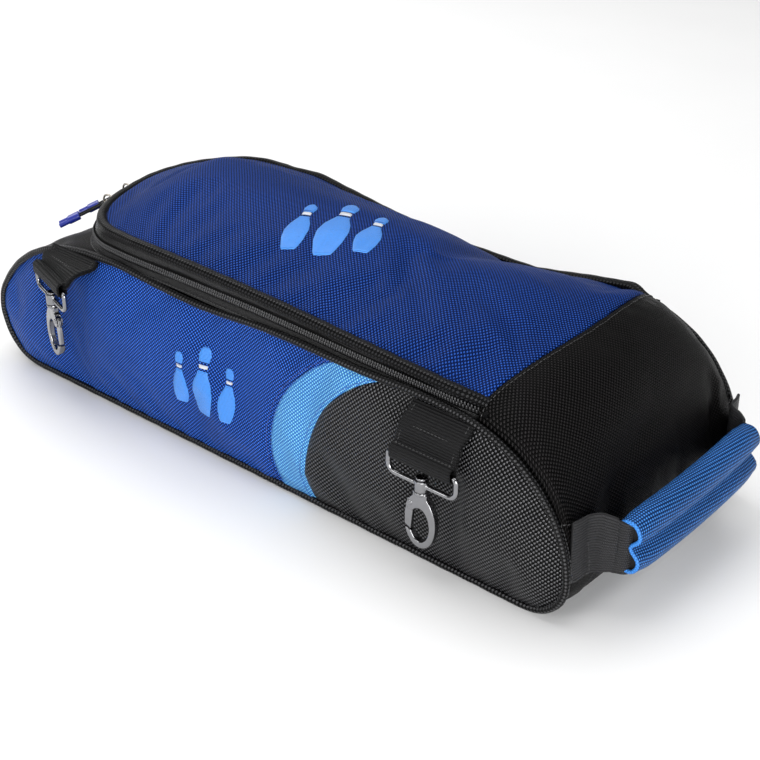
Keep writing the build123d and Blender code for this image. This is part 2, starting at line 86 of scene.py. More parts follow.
# ---- shared dimensions, as in the part ----------------------------------------------
HALF = 97.0                  # half the width of the zip wall and of the end panel
PIPE_Y = 99.5                # side seams
TOP = 119.0                  # height of the upper piping line, and LOW of the lower one
LOW = 2.5
NOSE_LOW = (-229.0, 40.5, 38.0)    # arcs of the side outline: centre x, centre z, radius
NOSE_BIG = (-155.47, -6.0, 125.0)
NOSE_TURN = 147.7            # angle where they meet, and its height
NOSE_JOIN = 60.8
END_LOW = (235.0, 32.5, 30.0)
END_BIG = (178.5, 32.5, 86.5)
LID_NOSE = (-73.0, 0.0, 130.0)     # arcs of the zip, seen from above: centre x, centre y, radius
LID_CORNER = (-140.2, 52.0, 45.0)
LID_SWING = 37.7
LID_END = 196.0
CLIP_OUT = 115.5             # bail bars, from the centre plane
CLIPS = {                    # name: X of the bar, side (+1 left), Z of the bar, yaw, lean
    "right_nose": (-183.0, -1, 96.0, -18.0, 14.0),
    "right_handle": (166.0, -1, 84.5, 0.0, 5.0),
    "left_nose": (-183.0, 1, 96.0, 18.0, 14.0),
    "left_handle": (166.0, 1, 84.5, 0.0, 5.0),
}
SIDES = {"right": -1, "left": 1}
HOOKS = {"nose": (-183.0, 96.0), "handle": (166.0, 84.5)}
PINCH = 4.2                  # the lid wall is drawn in this much over the middle


# ---- small maths --------------------------------------------------------------------
def ramp(low, high, t):
    t = np.clip((np.asarray(t, float) - low) / (high - low), 0, 1)
    return t * t * (3 - 2 * t)


def hill(t, centre, width):
    return np.exp(-(((np.asarray(t, float) - centre) / width) ** 2))


def mix(a, b, t):
    return a + (b - a) * t


def unit(v):
    v = np.asarray(v, float)
    return v / np.maximum(np.linalg.norm(v, axis=-1, keepdims=True), 1e-9)


def through(points, count):
    """Smooth curve through a few points, sampled evenly."""
    p = np.asarray(points, float)
    p = np.vstack([2 * p[0] - p[1], p, 2 * p[-1] - p[-2]])
    t = np.linspace(0, len(p) - 3, max(count * 4, 40))
    i = np.minimum(t.astype(int), len(p) - 4)
    f = (t - i)[:, None]
    a, b, c, d = p[i], p[i + 1], p[i + 2], p[i + 3]
    curve = 0.5 * (2 * b + (c - a) * f + (2 * a - 5 * b + 4 * c - d) * f**2 + (3 * b - a - 3 * c + d) * f**3)
    return evenly(curve, count)


def evenly(points, count, closed=False):
    p = np.asarray(points, float)
    if closed:
        p = np.vstack([p, p[:1]])
    s = np.concatenate([[0], np.cumsum(np.linalg.norm(np.diff(p, axis=0), axis=1))])
    at = np.linspace(0, s[-1], count + 1 if closed else count)
    out = np.stack([np.interp(at, s, p[:, k]) for k in range(p.shape[1])], 1)
    return out[:-1] if closed else out


def turn(centre, radius, start, end, count):
    a = np.radians(np.linspace(start, end, count))
    return np.stack([centre[0] + radius * np.cos(a), centre[1] + radius * np.sin(a)], 1)


def length_of(points):
    return float(np.linalg.norm(np.diff(points, axis=0), axis=1).sum())


# ---- meshes -------------------------------------------------------------------------
def make_object(name, points, faces, uvs=None, material=None):
    mesh = bpy.data.meshes.new(name)
    mesh.from_pydata((np.asarray(points, float) * MM).tolist(), [], faces)
    if uvs is not None:
        layer = mesh.uv_layers.new(name="UVMap")
        layer.data.foreach_set("uv", (np.asarray(uvs, float) * MM).ravel())
    mesh.polygons.foreach_set("use_smooth", [True] * len(mesh.polygons))
    mesh.update()
    obj = bpy.data.objects.new(name, mesh)
    bpy.context.scene.collection.objects.link(obj)
    if material:
        mesh.materials.append(material)
    return obj


def grid(name, rows, uv=None, closed=False, caps=False, flip=False, material=None):
    """Surface from rows of points. closed joins the end of each row to its start."""
    rows = np.asarray(rows, float)
    n, m = rows.shape[:2]
    wide = np.concatenate([rows, rows[:, :1]], 1) if closed else rows
    cols = wide.shape[1]
    if uv is None:
        along = np.concatenate([[0], np.cumsum(np.linalg.norm(np.diff(rows, axis=0), axis=2).mean(1))])
        around = np.cumsum(np.linalg.norm(np.diff(wide, axis=1), axis=2), 1)
        around = np.concatenate([np.zeros((n, 1)), around], 1).mean(0)
        uv = np.stack(np.meshgrid(around, along), -1)
    i, j = (a.ravel() for a in np.meshgrid(np.arange(n - 1), np.arange(cols - 1), indexing="ij"))
    corners = [(i, j), (i, j + 1), (i + 1, j + 1), (i + 1, j)]
    if flip:
        corners = corners[::-1]
    faces = np.stack([a * m + b % m for a, b in corners], 1).tolist()
    uvs = np.stack([uv[a, b] for a, b in corners], 1).reshape(-1, 2)
    if caps and closed:
        start, end = list(range(m)), [(n - 1) * m + k for k in range(m)]
        faces += [end, start[::-1]] if not flip else [end[::-1], start]
        uvs = np.vstack([uvs, np.zeros((2 * m, 2))])
    return make_object(name, rows.reshape(-1, 3), faces, uvs, material)


def frames_along(path, up, closed=False):
    """Side and up directions along a path; up may be one vector or one for each point."""
    path = np.asarray(path, float)
    if closed:
        ahead, behind = np.roll(path, -1, 0), np.roll(path, 1, 0)
        tangent = unit(ahead - behind)
    else:
        tangent = unit(np.gradient(path, axis=0))
    up = np.broadcast_to(np.asarray(up, float), path.shape)
    side = unit(np.cross(tangent, up))
    return tangent, side, unit(np.cross(side, tangent))


def sweep(name, path, section, up, closed=False, material=None, scale=None):
    """Section (side, up) carried along a path. scale gives (side, up) factors for each point."""
    path = np.asarray(path, float)
    _, side, over = frames_along(path, up, closed)
    section = np.asarray(section, float)
    size = np.ones((len(path), 2)) if scale is None else np.asarray(scale, float)
    rows = (path[:, None]
            + (size[:, :1] * section[None, :, 0])[..., None] * side[:, None]
            + (size[:, 1:] * section[None, :, 1])[..., None] * over[:, None])
    if closed:
        rows = np.concatenate([rows, rows[:1]], 0)
    return grid(name, rows, closed=True, caps=not closed, material=material)


def uneven(count, *waves):
    """Scale along a cord that swells and thins a little, from (share, speed) waves."""
    step = np.arange(count)
    scale = 1 + sum(share * np.sin(step * speed) for share, speed in waves)
    return np.stack([scale, scale], 1)


def round_section(a, b, count):
    t = np.linspace(0, 2 * math.pi, count, endpoint=False)
    return np.stack([a * np.cos(t), b * np.sin(t)], 1)


def strap_section(width, thick):
    """Flat webbing section with a soft selvage at both edges."""
    w, h = width / 2, thick / 2
    top = [(-w, 0), (-w + 0.3, h * 0.8), (-w + 1.2, h * 1.1), (-w + 2.6, h), (0, h)]
    top += [(w - 2.6, h), (w - 1.2, h * 1.1), (w - 0.3, h * 0.8), (w, 0)]
    low = [(x, -z) for x, z in top[-2:0:-1]]
    return np.array(top + low)[::-1]


def subdivide(obj):
    modifier = obj.modifiers.new("subdivision", "SUBSURF")
    modifier.levels = 1
    modifier.render_levels = 1
    modifier.boundary_smooth = "PRESERVE_CORNERS"
    return obj


def thicken(obj, thick):
    modifier = obj.modifiers.new("thickness", "SOLIDIFY")
    modifier.thickness = thick * MM
    modifier.offset = -1
    return obj


def bake(obj):
    """Applies the modifiers of obj to its mesh."""
    graph = bpy.context.evaluated_depsgraph_get()
    mesh = bpy.data.meshes.new_from_object(obj.evaluated_get(graph), depsgraph=graph)
    obj.modifiers.clear()
    obj.data = mesh
    return obj


def surface_of(rows):
    """Ray casting on a surface given by rows of points."""
    rows = np.asarray(rows, float)
    n, m = rows.shape[:2]
    faces = [(i * m + j, i * m + j + 1, (i + 1) * m + j + 1, (i + 1) * m + j)
             for i in range(n - 1) for j in range(m - 1)]
    return BVHTree.FromPolygons(rows.reshape(-1, 3).tolist(), faces)


def drop_on(tree, points, direction, lift):
    """Points moved along direction on to a surface, and lifted off it by lift."""
    out = []
    way = Vector(direction)
    for p in np.asarray(points, float):
        hit, normal, _, _ = tree.ray_cast(Vector(p) - way * 200, way)
        if hit is None:
            hit, normal, _, _ = tree.find_nearest(Vector(p))
        if normal.dot(way) > 0:
            normal = -normal
        out.append(hit + normal * lift)
    return np.array(out)


def beads(name, centres, axes, half, radius, material, flat=1.0, outward=None):
    """Small rounded grains, such as stitches and zip teeth, all in one mesh."""
    centres, axes = np.asarray(centres, float), unit(axes)
    outward = np.broadcast_to(np.asarray((0, 0, 1) if outward is None else outward, float), axes.shape)
    side = unit(np.cross(axes, outward))
    up = unit(np.cross(side, axes))
    rings = [(-1.0, 0.35), (-0.72, 0.9), (0.0, 1.0), (0.72, 0.9), (1.0, 0.35)]
    sides = 6
    points, faces = [], []
    for s, r in rings:
        for k in range(sides):
            a = 2 * math.pi * k / sides
            points.append(centres + axes * (s * half) + side * (r * radius * math.cos(a))
                          + up * (r * radius * flat * math.sin(a)))
    per = len(points)
    points = np.stack(points, 1).reshape(-1, 3)
    cell = []
    for a in range(0, sides * (len(rings) - 1), sides):
        for k in range(sides):
            after = (k + 1) % sides
            cell.append([a + k, a + after, a + sides + after, a + sides + k])
    ends = [list(range(sides))[::-1], [per - sides + k for k in range(sides)]]
    for b in range(len(centres)):
        faces += [[b * per + v for v in face] for face in cell + ends]
    return make_object(name, points, faces, None, material)


def stitches(name, path, outward, material, pitch=3.2, half=1.25, lift=0.1):
    """A line of topstitching along a path."""
    count = max(2, int(length_of(path) / pitch))
    at = evenly(path, count)
    tangent = unit(np.gradient(at, axis=0))
    outward = np.asarray(outward, float)
    if outward.ndim == 2:
        outward = evenly(outward, count)
    return beads(name, at + unit(outward) * lift, tangent, half, THREAD_R, material, 0.8, outward)


def soften(node, voxel, rounds, material):
    """Cast and polished version of a CAD piece, with rounded edges."""
    obj = bpy.data.objects.new(node + "_cast", NODES[node].data.copy())
    bpy.context.scene.collection.objects.link(obj)
    remesh = obj.modifiers.new("remesh", "REMESH")
    remesh.mode = "VOXEL"
    remesh.voxel_size = voxel * MM
    round_off = obj.modifiers.new("round", "SMOOTH")
    round_off.factor = 0.5
    round_off.iterations = rounds
    bake(obj)
    obj.data.materials.clear()
    obj.data.materials.append(material)
    obj.data.polygons.foreach_set("use_smooth", [True] * len(obj.data.polygons))
    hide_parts(node)
    return obj


def puff(rows, hold, pressure, slack, cap, bend):
    """Cloth simulation of a panel sewn along its edges: rows of points in, rows out.

    hold is 1 where the panel is sewn down and 0 where it is free. No point moves more than cap."""
    rows = np.asarray(rows, float)
    n, m = rows.shape[:2]
    obj = grid("panel_in_simulation", rows)
    group = obj.vertex_groups.new(name="sewn")
    weights = np.asarray(hold, float).ravel()
    for index in np.nonzero(weights > 0.01)[0].tolist():
        group.add([index], float(weights[index]), "REPLACE")
    cloth = obj.modifiers.new("cloth", "CLOTH")
    cloth.settings.quality = 5
    cloth.settings.mass = 0.3
    cloth.settings.air_damping = 3
    cloth.settings.tension_stiffness = 25
    cloth.settings.compression_stiffness = 25
    cloth.settings.shear_stiffness = 12
    cloth.settings.bending_stiffness = bend
    cloth.settings.vertex_group_mass = "sewn"
    cloth.settings.use_pressure = True
    cloth.settings.uniform_pressure_force = pressure
    cloth.settings.shrink_min = -slack
    cloth.settings.effector_weights.gravity = 0
    cloth.collision_settings.use_collision = False
    cloth.point_cache.frame_start = 1
    cloth.point_cache.frame_end = SIM_STEPS
    scene = bpy.context.scene
    for step in range(1, SIM_STEPS + 1):
        scene.frame_set(step)
    bake(obj)
    moved = np.array([v.co for v in obj.data.vertices], float).reshape(n, m, 3) / MM
    bpy.data.objects.remove(obj)
    scene.frame_set(1)
    shift = moved - rows
    size = np.linalg.norm(shift, axis=2, keepdims=True)
    return rows + shift * np.minimum(1, cap / np.maximum(size, 1e-6))


# ---- materials ----------------------------------------------------------------------
class Finish:
    """A node material with short calls for the maths in it."""

    def __init__(self, name):
        self.material = bpy.data.materials.new(name)
        self.material.use_nodes = True
        self.tree = self.material.node_tree
        self.shader = self.tree.nodes["Principled BSDF"]

    def node(self, kind, **inputs):
        made = self.tree.nodes.new(kind)
        for key, value in inputs.items():
            self.put(made.inputs[key], value)
        return made

    def put(self, socket, value):
        if isinstance(value, bpy.types.NodeSocket):
            self.tree.links.new(value, socket)
        else:
            socket.default_value = value

    def do(self, operation, a, b=0.0):
        made = self.tree.nodes.new("ShaderNodeMath")
        made.operation = operation
        self.put(made.inputs[0], a)
        self.put(made.inputs[1], b)
        return made.outputs[0]

    def arch(self, t):
        """One rounded hump in each cell."""
        return self.do("SINE", self.do("MULTIPLY", self.do("FRACT", t), math.pi))

    def scaled(self, value, gain, offset):
        return self.do("ADD", self.do("MULTIPLY", value, gain), offset)

    def uv(self, pitch, angle=0.0):
        """UV in cells of the given pitch in millimetres, turned by angle."""
        source = self.node("ShaderNodeUVMap")
        place = self.node("ShaderNodeMapping", Vector=source.outputs[0])
        place.inputs["Rotation"].default_value = (0, 0, math.radians(angle))
        place.inputs["Scale"].default_value = (1000 / pitch, 1000 / pitch, 1)
        parts = self.node("ShaderNodeSeparateXYZ", Vector=place.outputs[0])
        return parts.outputs[0], parts.outputs[1]

    def noise(self, scale, detail=2.0):
        """Soft noise over the object, in cells of scale millimetres."""
        where = self.node("ShaderNodeTexCoord")
        made = self.node("ShaderNodeTexNoise", Vector=where.outputs["Object"])
        made.inputs["Scale"].default_value = 1000 / scale
        made.inputs["Detail"].default_value = detail
        return made.outputs["Fac"]

    def mixed(self, factor, a, b):
        made = self.tree.nodes.new("ShaderNodeMix")
        made.data_type = "RGBA"
        self.put(made.inputs["Factor"], factor)
        self.put(made.inputs[6], a)
        self.put(made.inputs[7], b)
        return made.outputs[2]

    def bump(self, height, distance, under=None):
        made = self.node("ShaderNodeBump", Height=height, Distance=distance * MM)
        if under is not None:
            self.put(made.inputs["Normal"], under)
        return made.outputs[0]

    def set(self, **values):
        for key, value in values.items():
            self.put(self.shader.inputs[key.replace("_", " ")], value)
        return self.material


def colour(rgb, factor=1.0):
    return (*[min(1.0, c * factor) for c in rgb], 1)


def woven(name, rgb, pitch=1.9, angle=0.0, depth=0.35, rough=0.42, gap=0.35, crown_highlight=None, rib=0.0, spec=0.5,
          wave=0.0, ior=1.5):
    """Ballistic cloth: a plain weave of thick yarns, with dull gaps between them painted dark as shade.

    rgb is the colour of the weft, and the warp crowns are painted towards a lighter colour as a painted
    highlight. rib sinks the weft, gap is the brightness of the painted shade left between the yarns, and
    wave makes the yarns run a little unevenly."""
    f = Finish(name)
    u, v = f.uv(pitch, angle)
    if wave:
        sway = f.do("MULTIPLY", f.noise(38, 1), wave)
        u, v = f.do("ADD", u, sway), f.do("ADD", v, sway)
    cell = f.do("ABSOLUTE", f.do("MODULO", f.do("ADD", f.do("FLOOR", u), f.do("FLOOR", v)), 2.0))
    arch_u, arch_v = (f.arch(way) for way in (u, v))
    warp, weft = (f.do("MULTIPLY", f.do("POWER", a, 0.5), f.scaled(b, 0.5, 0.5))
                  for a, b in ((arch_u, arch_v), (arch_v, arch_u)))
    weft = f.do("MULTIPLY", weft, 1.0 - rib)
    height = f.do("ADD", f.do("MULTIPLY", warp, cell), f.do("MULTIPLY", weft, f.do("SUBTRACT", 1.0, cell)))
    patch = f.noise(60, 3)
    grain = f.noise(0.7, 1)
    shade = f.do("MULTIPLY", f.scaled(patch, 0.3, 0.85), f.scaled(grain, 0.4, 0.8))
    level = f.do("MULTIPLY", f.scaled(height, 1.0 - gap, gap), shade)
    # painted highlight and shade: the warp crowns are painted towards the lighter crown colour by their
    # height, and the gaps between the yarns are painted down to 0.04 of rgb as shade
    paint = f.mixed(f.do("MULTIPLY", level, cell), colour(rgb), colour(crown_highlight or rgb))
    paint = f.mixed(level, colour(rgb, 0.04), paint)
    # sunk makes those painted-dark gaps metallic, so they reflect only their dark colour and show almost no
    # shine
    sunk = f.do("SUBTRACT", 1.0, f.do("MINIMUM", f.do("MULTIPLY", level, 1.25), 1.0))
    rough_out = f.scaled(patch, 0.14, rough - 0.07)
    normal = f.bump(height, depth, f.bump(grain, 0.06))
    return f.set(Base_Color=paint, Roughness=rough_out, Metallic=sunk, Normal=normal,
                 Specular_IOR_Level=spec, IOR=ior)


def ribbed(name, rgb, pitch=1.5, depth=0.4, rough=0.5, across=False):
    """Webbing: ribs with fine yarns running over them."""
    f = Finish(name)
    u, v = f.uv(pitch)
    fine_u, fine_v = f.uv(0.9)
    if across:
        u, v, fine_u, fine_v = v, u, fine_v, fine_u
    ribs = f.do("POWER", f.arch(u), 0.6)
    cell = f.do("MULTIPLY", f.do("FLOOR", u), 0.5)
    twill = f.do("FRACT", f.do("ADD", fine_v, cell))
    yarn = f.do("POWER", f.do("SINE", f.do("MULTIPLY", twill, math.pi)), 0.7)
    height = f.do("MULTIPLY", ribs, f.scaled(yarn, 0.5, 0.5))
    grain = f.noise(0.8, 1)
    worn = f.scaled(grain, 0.4, 0.8)
    level = f.do("MULTIPLY", f.scaled(height, 0.75, 0.25), worn)
    # painted shade and highlight: the colour follows the rib and yarn height, from 0.15 of rgb in the
    # grooves to 1.2 of rgb on the crowns, with random grain
    paint = f.mixed(level, colour(rgb, 0.15), colour(rgb, 1.2))
    rough_out = f.scaled(f.noise(30, 2), 0.15, rough - 0.07)
    return f.set(Base_Color=paint, Roughness=rough_out, Normal=f.bump(height, depth, f.bump(grain, 0.05)),
                 Specular_IOR_Level=0.12)


def smooth_cloth(name, rgb, rough=0.4, depth=0.08, pitch=0.6, spec=0.15):
    """Fine woven tape or lining, with a soft shine."""
    f = Finish(name)
    u, v = f.uv(pitch)
    fine = f.do("MULTIPLY", *[f.do("SINE", f.do("MULTIPLY", way, 6.283)) for way in (u, v)])
    fine = f.scaled(fine, 0.5, 0.5)
    patch = f.noise(50, 3)
    # painted shade and highlight: the colour follows the fine weave's height, 0.7 of rgb in its grooves and
    # 1.4 on its crowns, and is also darker at random where patch is low
    paint = f.mixed(f.do("MULTIPLY", fine, patch), colour(rgb, 0.7), colour(rgb, 1.4))
    rough_out = f.scaled(patch, 0.2, rough - 0.1)
    normal = f.bump(fine, depth, f.bump(f.noise(9, 2), 0.25))
    return f.set(Base_Color=paint, Roughness=rough_out, Normal=normal, Specular_IOR_Level=spec)


def satin(name, rgb, pitch=0.55, crown_highlight=None):
    """Satin-stitch embroidery: fine shiny threads side by side."""
    f = Finish(name)
    _, v = f.uv(pitch)
    thread = f.arch(v)
    broken = f.noise(1.3, 2)
    level = f.do("MULTIPLY", thread, f.scaled(broken, 0.5, 0.75))
    # painted shade and sheen: each thread is painted from 0.55 of rgb at its edges to a lighter crown colour
    # on its crown, and broken up at random
    paint = f.mixed(level, colour(rgb, 0.55), colour(crown_highlight or rgb, 1.15))
    rough_out = f.scaled(broken, 0.2, 0.22)
    return f.set(Base_Color=paint, Roughness=rough_out, Normal=f.bump(thread, 0.22), Anisotropic=0.5,
                 Sheen_Weight=0.1)


def metal(name, rgb, rough=0.16):
    """Polished plating with faint casting waves and fine scratches."""
    f = Finish(name)
    waves = f.noise(7, 2)
    scratch = f.noise(0.5, 3)
    wear = f.noise(3, 4)
    rough_out = f.scaled(wear, 0.16, rough - 0.06)
    paint = f.mixed(f.do("MULTIPLY", wear, 0.5), colour(rgb), colour(rgb, 0.72))
    normal = f.bump(scratch, 0.012, f.bump(waves, 0.4))
    return f.set(Base_Color=paint, Metallic=1.0, Roughness=rough_out, Normal=normal)


def moulded(name, rgb, rough=0.42, coat=0.0):
    """Moulded plastic or rubber with a fine orange-peel surface."""
    f = Finish(name)
    peel = f.noise(0.9, 3)
    patch = f.noise(12, 2)
    paint = f.mixed(patch, colour(rgb, 0.8), colour(rgb, 1.2))
    rough_out = f.scaled(peel, 0.16, rough - 0.08)
    return f.set(Base_Color=paint, Roughness=rough_out, Normal=f.bump(peel, 0.04), Coat_Weight=coat)


def fold_shade(name, rgb):
    """Plain black binding with a soft diagonal weave, its yarn gaps painted dark as shade and its warp
    crowns painted four times lighter as a painted highlight.
    """
    return woven(name, rgb, 1.9, 45, 0.4, 0.45, 0.04, tuple(4 * c for c in rgb), 0.6, 0.2)


BLACK = (0.006, 0.006, 0.0065)
# lit and shaded copies of one blue cloth: the lid copy is painted darker as shade and the side copy lighter
# as light, for how the light falls on them
M_BLUE_LID_SHADED = woven("ballistic_blue_lid_shaded", (0.004, 0.022, 0.15), 1.35, 0, 0.5, 0.55, 0.06,
                   (0.026, 0.105, 0.50), 0.55, 0.06, 0.9)
M_BLUE_SIDE_LIT = woven("ballistic_blue_side_lit", (0.006, 0.034, 0.24), 1.35, 0, 0.5, 0.5, 0.06, (0.06, 0.23, 0.95),
               0.55, 0.1, 0.8)
M_LIGHT = woven("ballistic_light_blue", (0.03, 0.22, 0.75), 1.35, 0, 0.4, 0.45, 0.3, (0.26, 0.70, 1.0),
                0.3, 0.2, 0.5)
# lit and shaded copies of one black cloth: the side copy has much lighter warp crowns as a painted
# highlight, and the end copy, also used on the nose gusset, is painted darker as shade
M_BLACK_SIDE_LIT = woven("ballistic_black_side_lit", (0.001, 0.001, 0.0012), 1.6, 0, 0.7, 0.34, 0.01,
                (0.065, 0.065, 0.072), 0.9, 0.5, 0.8, 1.7)
M_BLACK_END_SHADED = woven("ballistic_black_end_shaded", (0.002, 0.002, 0.002), 1.4, 0, 0.5, 0.45, 0.04,
                    (0.016, 0.0145, 0.015), 0.6, 0.12, 0.8)
M_BACK = woven("ballistic_black_back", BLACK, 2.0, 0, 0.30, 0.5, 0.1, (0.015, 0.015, 0.016), 0.4, 0.3)
M_WELT = fold_shade("welt_weave", (0.005, 0.005, 0.0055))
M_PIPING = woven("piping_weave", (0.004, 0.004, 0.0045), 1.9, 45, 0.5, 0.36, 0.06, (0.05, 0.05, 0.053),
                 0.6, 0.3)
M_TAPE = smooth_cloth("zip_tape", (0.004, 0.004, 0.0045), 0.25, spec=0.35)
M_RIBTAPE = ribbed("zip_tape_ribbed", (0.003, 0.003, 0.0032), 1.2, 0.25, 0.5, across=True)
M_GUSSET = smooth_cloth("gusset_black", (0.003, 0.003, 0.0033), 0.42, 0.1, 0.9, spec=0.08)
M_LINING = smooth_cloth("lining_black", (0.02, 0.02, 0.021), 0.6)
M_WEB = ribbed("webbing_black", (0.010, 0.010, 0.0105), 1.9, 0.8, 0.42, across=True)
# painted light: the handle webbing is painted over three times lighter than the clip webbing, for the light
# falling on the handle end
M_WEB_LONG_LIT = ribbed("webbing_black_long_lit", (0.036, 0.036, 0.038), 1.9, 0.8, 0.4)
M_TEETH = moulded("zip_teeth", (0.05, 0.05, 0.052), 0.2)
M_NICKEL = metal("nickel", (0.29, 0.29, 0.30), 0.1)
M_NICKEL_WARM = metal("nickel_warm", (0.58, 0.54, 0.48), 0.2)
M_SPRING = metal("spring_steel", (0.5, 0.5, 0.5), 0.3)
M_PULL = moulded("pull_blue", (0.014, 0.03, 0.32), 0.3, 0.3)
M_CORD = woven("cord_black", (0.02, 0.02, 0.02), 0.7, 45, 0.2, 0.5)
M_BOARD = moulded("board", (0.05, 0.05, 0.052), 0.6)
M_THREAD_BLUE = satin("thread_blue", (0.02, 0.07, 0.42), 0.3)
M_THREAD_LIGHT = satin("thread_light", (0.06, 0.26, 0.8), 0.3)
M_THREAD_BLACK = satin("thread_black", (0.03, 0.03, 0.032), 0.3)
M_SATIN = satin("satin_light_blue", (0.022, 0.15, 0.62), 0.8, (0.05, 0.29, 0.85))
M_SATIN_WHITE = satin("satin_white", (0.72, 0.74, 0.78), 0.6)
M_WRAP = woven("wrap_light_blue", (0.010, 0.06, 0.28), 1.3, 38, 0.45, 0.45, 0.08, (0.07, 0.32, 0.88),
               0.6, 0.2)
M_BINDING = woven("wrap_binding", (0.05, 0.27, 0.8), 1.4, 45, 0.25, 0.45, 0.4, spec=0.3)


# ---- side profile -------------------------------------------------------------------
def outline():
    """Closed side outline as (x, z) points, with the sag of the upper edge."""
    parts = [
        np.stack([np.linspace(NOSE_LOW[0], END_LOW[0], 90), np.full(90, LOW)], 1),
        turn(END_LOW[:2], END_LOW[2], -90, 0, 16)[1:],
        turn(END_BIG[:2], END_BIG[2], 0, 90, 36)[1:],
        np.stack([np.linspace(END_BIG[0], NOSE_BIG[0], 80), np.full(80, TOP)], 1)[1:],
        turn(NOSE_BIG[:2], NOSE_BIG[2], 90, NOSE_TURN, 34)[1:],
        turn(NOSE_LOW[:2], NOSE_LOW[2], NOSE_TURN, 270, 24)[1:-1],
    ]
    return np.vstack(parts)


def sag(x):
    """How far the upper edge leaves its nominal height."""
    return -4.5 * hill(x, -45, 48) + 2.6 * hill(x, 148, 36) + 1.8 * hill(x, -125, 24)


def edge_y(x, z):
    """Distance of the side seam from the centre plane: drawn in over the middle."""
    return mix(PIPE_Y, PIPE_Y + 1.4 - 5.6 * hill(x, -8, 120), ramp(30, TOP, z))


def lifted(x, z):
    """Height of a side panel point after the sag of its upper edge."""
    return z + sag(x) * ramp(40, TOP, z)


def on_arc(arc, z, way):
    """X of a circle (centre x, centre z, radius) at height z, on its low (-1) or high (1) side."""
    return arc[0] + way * np.sqrt(np.maximum(arc[2] ** 2 - (z - arc[1]) ** 2, 0))


def left_x(z):
    return np.where(z < NOSE_JOIN, on_arc(NOSE_LOW, z, -1), on_arc(NOSE_BIG, z, -1))


def right_x(z):
    return np.where(z < END_LOW[1], on_arc(END_LOW, z, 1), on_arc(END_BIG, z, 1))


def band_front(z):
    return on_arc((117, 34, 91.0), z, -1)


def band_back(z):
    return on_arc((152, 28, 95.0), z, -1)


def seam_gap(x, z, line):
    """Distance of points from the outline."""
    pts = np.stack([x.ravel(), z.ravel()], 1)
    near = np.full(len(pts), 1e9)
    for start in range(0, len(line), 60):
        part = line[start:start + 60]
        near = np.minimum(near, np.linalg.norm(pts[:, None] - part[None], axis=2).min(1))
    return near.reshape(x.shape)


N_BLUE, N_BAND, N_BLACK, N_ROWS = 58, 9, 36, 34   # columns of the three fields, and rows
SIDE_CREASES = (             # depth, slope, height at x = 0, width, middle x, reach
    (1.5, 0.25, 147.0, 9, 148, 26),
    (1.3, -0.5, -42.5, 7, 205, 24),
    (1.2, 0.12, 92, 8, -110, 60),
)


def side_rows():
    """Right side panel as rows of points from the floor up, with columns along the two band seams."""
    level = (1 - np.cos(np.linspace(0, math.pi, N_ROWS))) / 2
    level = mix(level, np.linspace(0, 1, N_ROWS), 0.35)
    z = LOW + 0.9 + (TOP - LOW - 1.8) * level
    rows = []
    for h in z:
        inset = 0.9
        a, d = float(left_x(h)) + inset, float(right_x(h)) - inset
        b, c = float(band_front(h)), float(band_back(h))
        spread = (1 - np.cos(np.linspace(0, math.pi / 2, N_BLUE)))
        spread = mix(spread, np.linspace(0, 1, N_BLUE), 0.6)
        tail = mix(np.sin(np.linspace(0, math.pi / 2, N_BLACK)), np.linspace(0, 1, N_BLACK), 0.6)
        xs = np.concatenate([a + (b - a) * spread, np.linspace(b, c, N_BAND)[1:], (c + (d - c) * tail)[1:]])
        rows.append(np.stack([xs, np.full_like(xs, h)], 1))
    flat = np.array(rows)
    x, h = flat[..., 0], flat[..., 1]
    gap = seam_gap(x, h, outline())
    swell = 1 - (1 - np.clip(gap / 40, 0, 1)) ** 2.4
    hollow = 1 - 0.55 * hill(x, HOOKS["handle"][0] - 2, 30) * hill(h, 45, 50)
    hollow = hollow * (1 - 0.45 * hill(x, HOOKS["nose"][0], 26) * hill(h, 45, 45))
    out = 7.5 * swell * hollow
    crease = sum(deep * hill(h + slope * x, at, wide) * hill(x, middle, reach)
                 for deep, slope, at, wide, middle, reach in SIDE_CREASES)
    y = edge_y(x, h) - 0.8 + out - crease * np.clip(gap / 12, 0, 1)
    line_cut = 0.7 * (hill(x, band_front(h), 2.2) + hill(x, band_back(h), 2.2))
    rows = np.stack([x, -(y - line_cut), lifted(x, h)], 2)
    hold = np.zeros(x.shape)
    hold[[0, -1]] = hold[:, [0, -1]] = 1
    hold = np.maximum(hold, 0.9 * np.exp(-gap / 2.5))
    hold = np.maximum(hold, 0.25 * (hill(x, band_front(h), 2.5) + hill(x, band_back(h), 2.5)))
    return puff(rows, hold, 2.2, 0.012, 3.0, 2.0)


def limit_near_hooks(rows):
    """Keeps the panel out of the way of a turning hook."""
    x, y, z = rows[..., 0], rows[..., 1], rows[..., 2]
    room = np.zeros(x.shape)
    for hook, up in HOOKS.values():
        room = np.maximum(room, ramp(34, 16, abs(x - hook)) * ramp(up + 4, up - 8, z))
    top = mix(111.0, 102.6, room)
    rows = rows.copy()
    rows[..., 1] = -np.minimum(-y, top)
    return rows


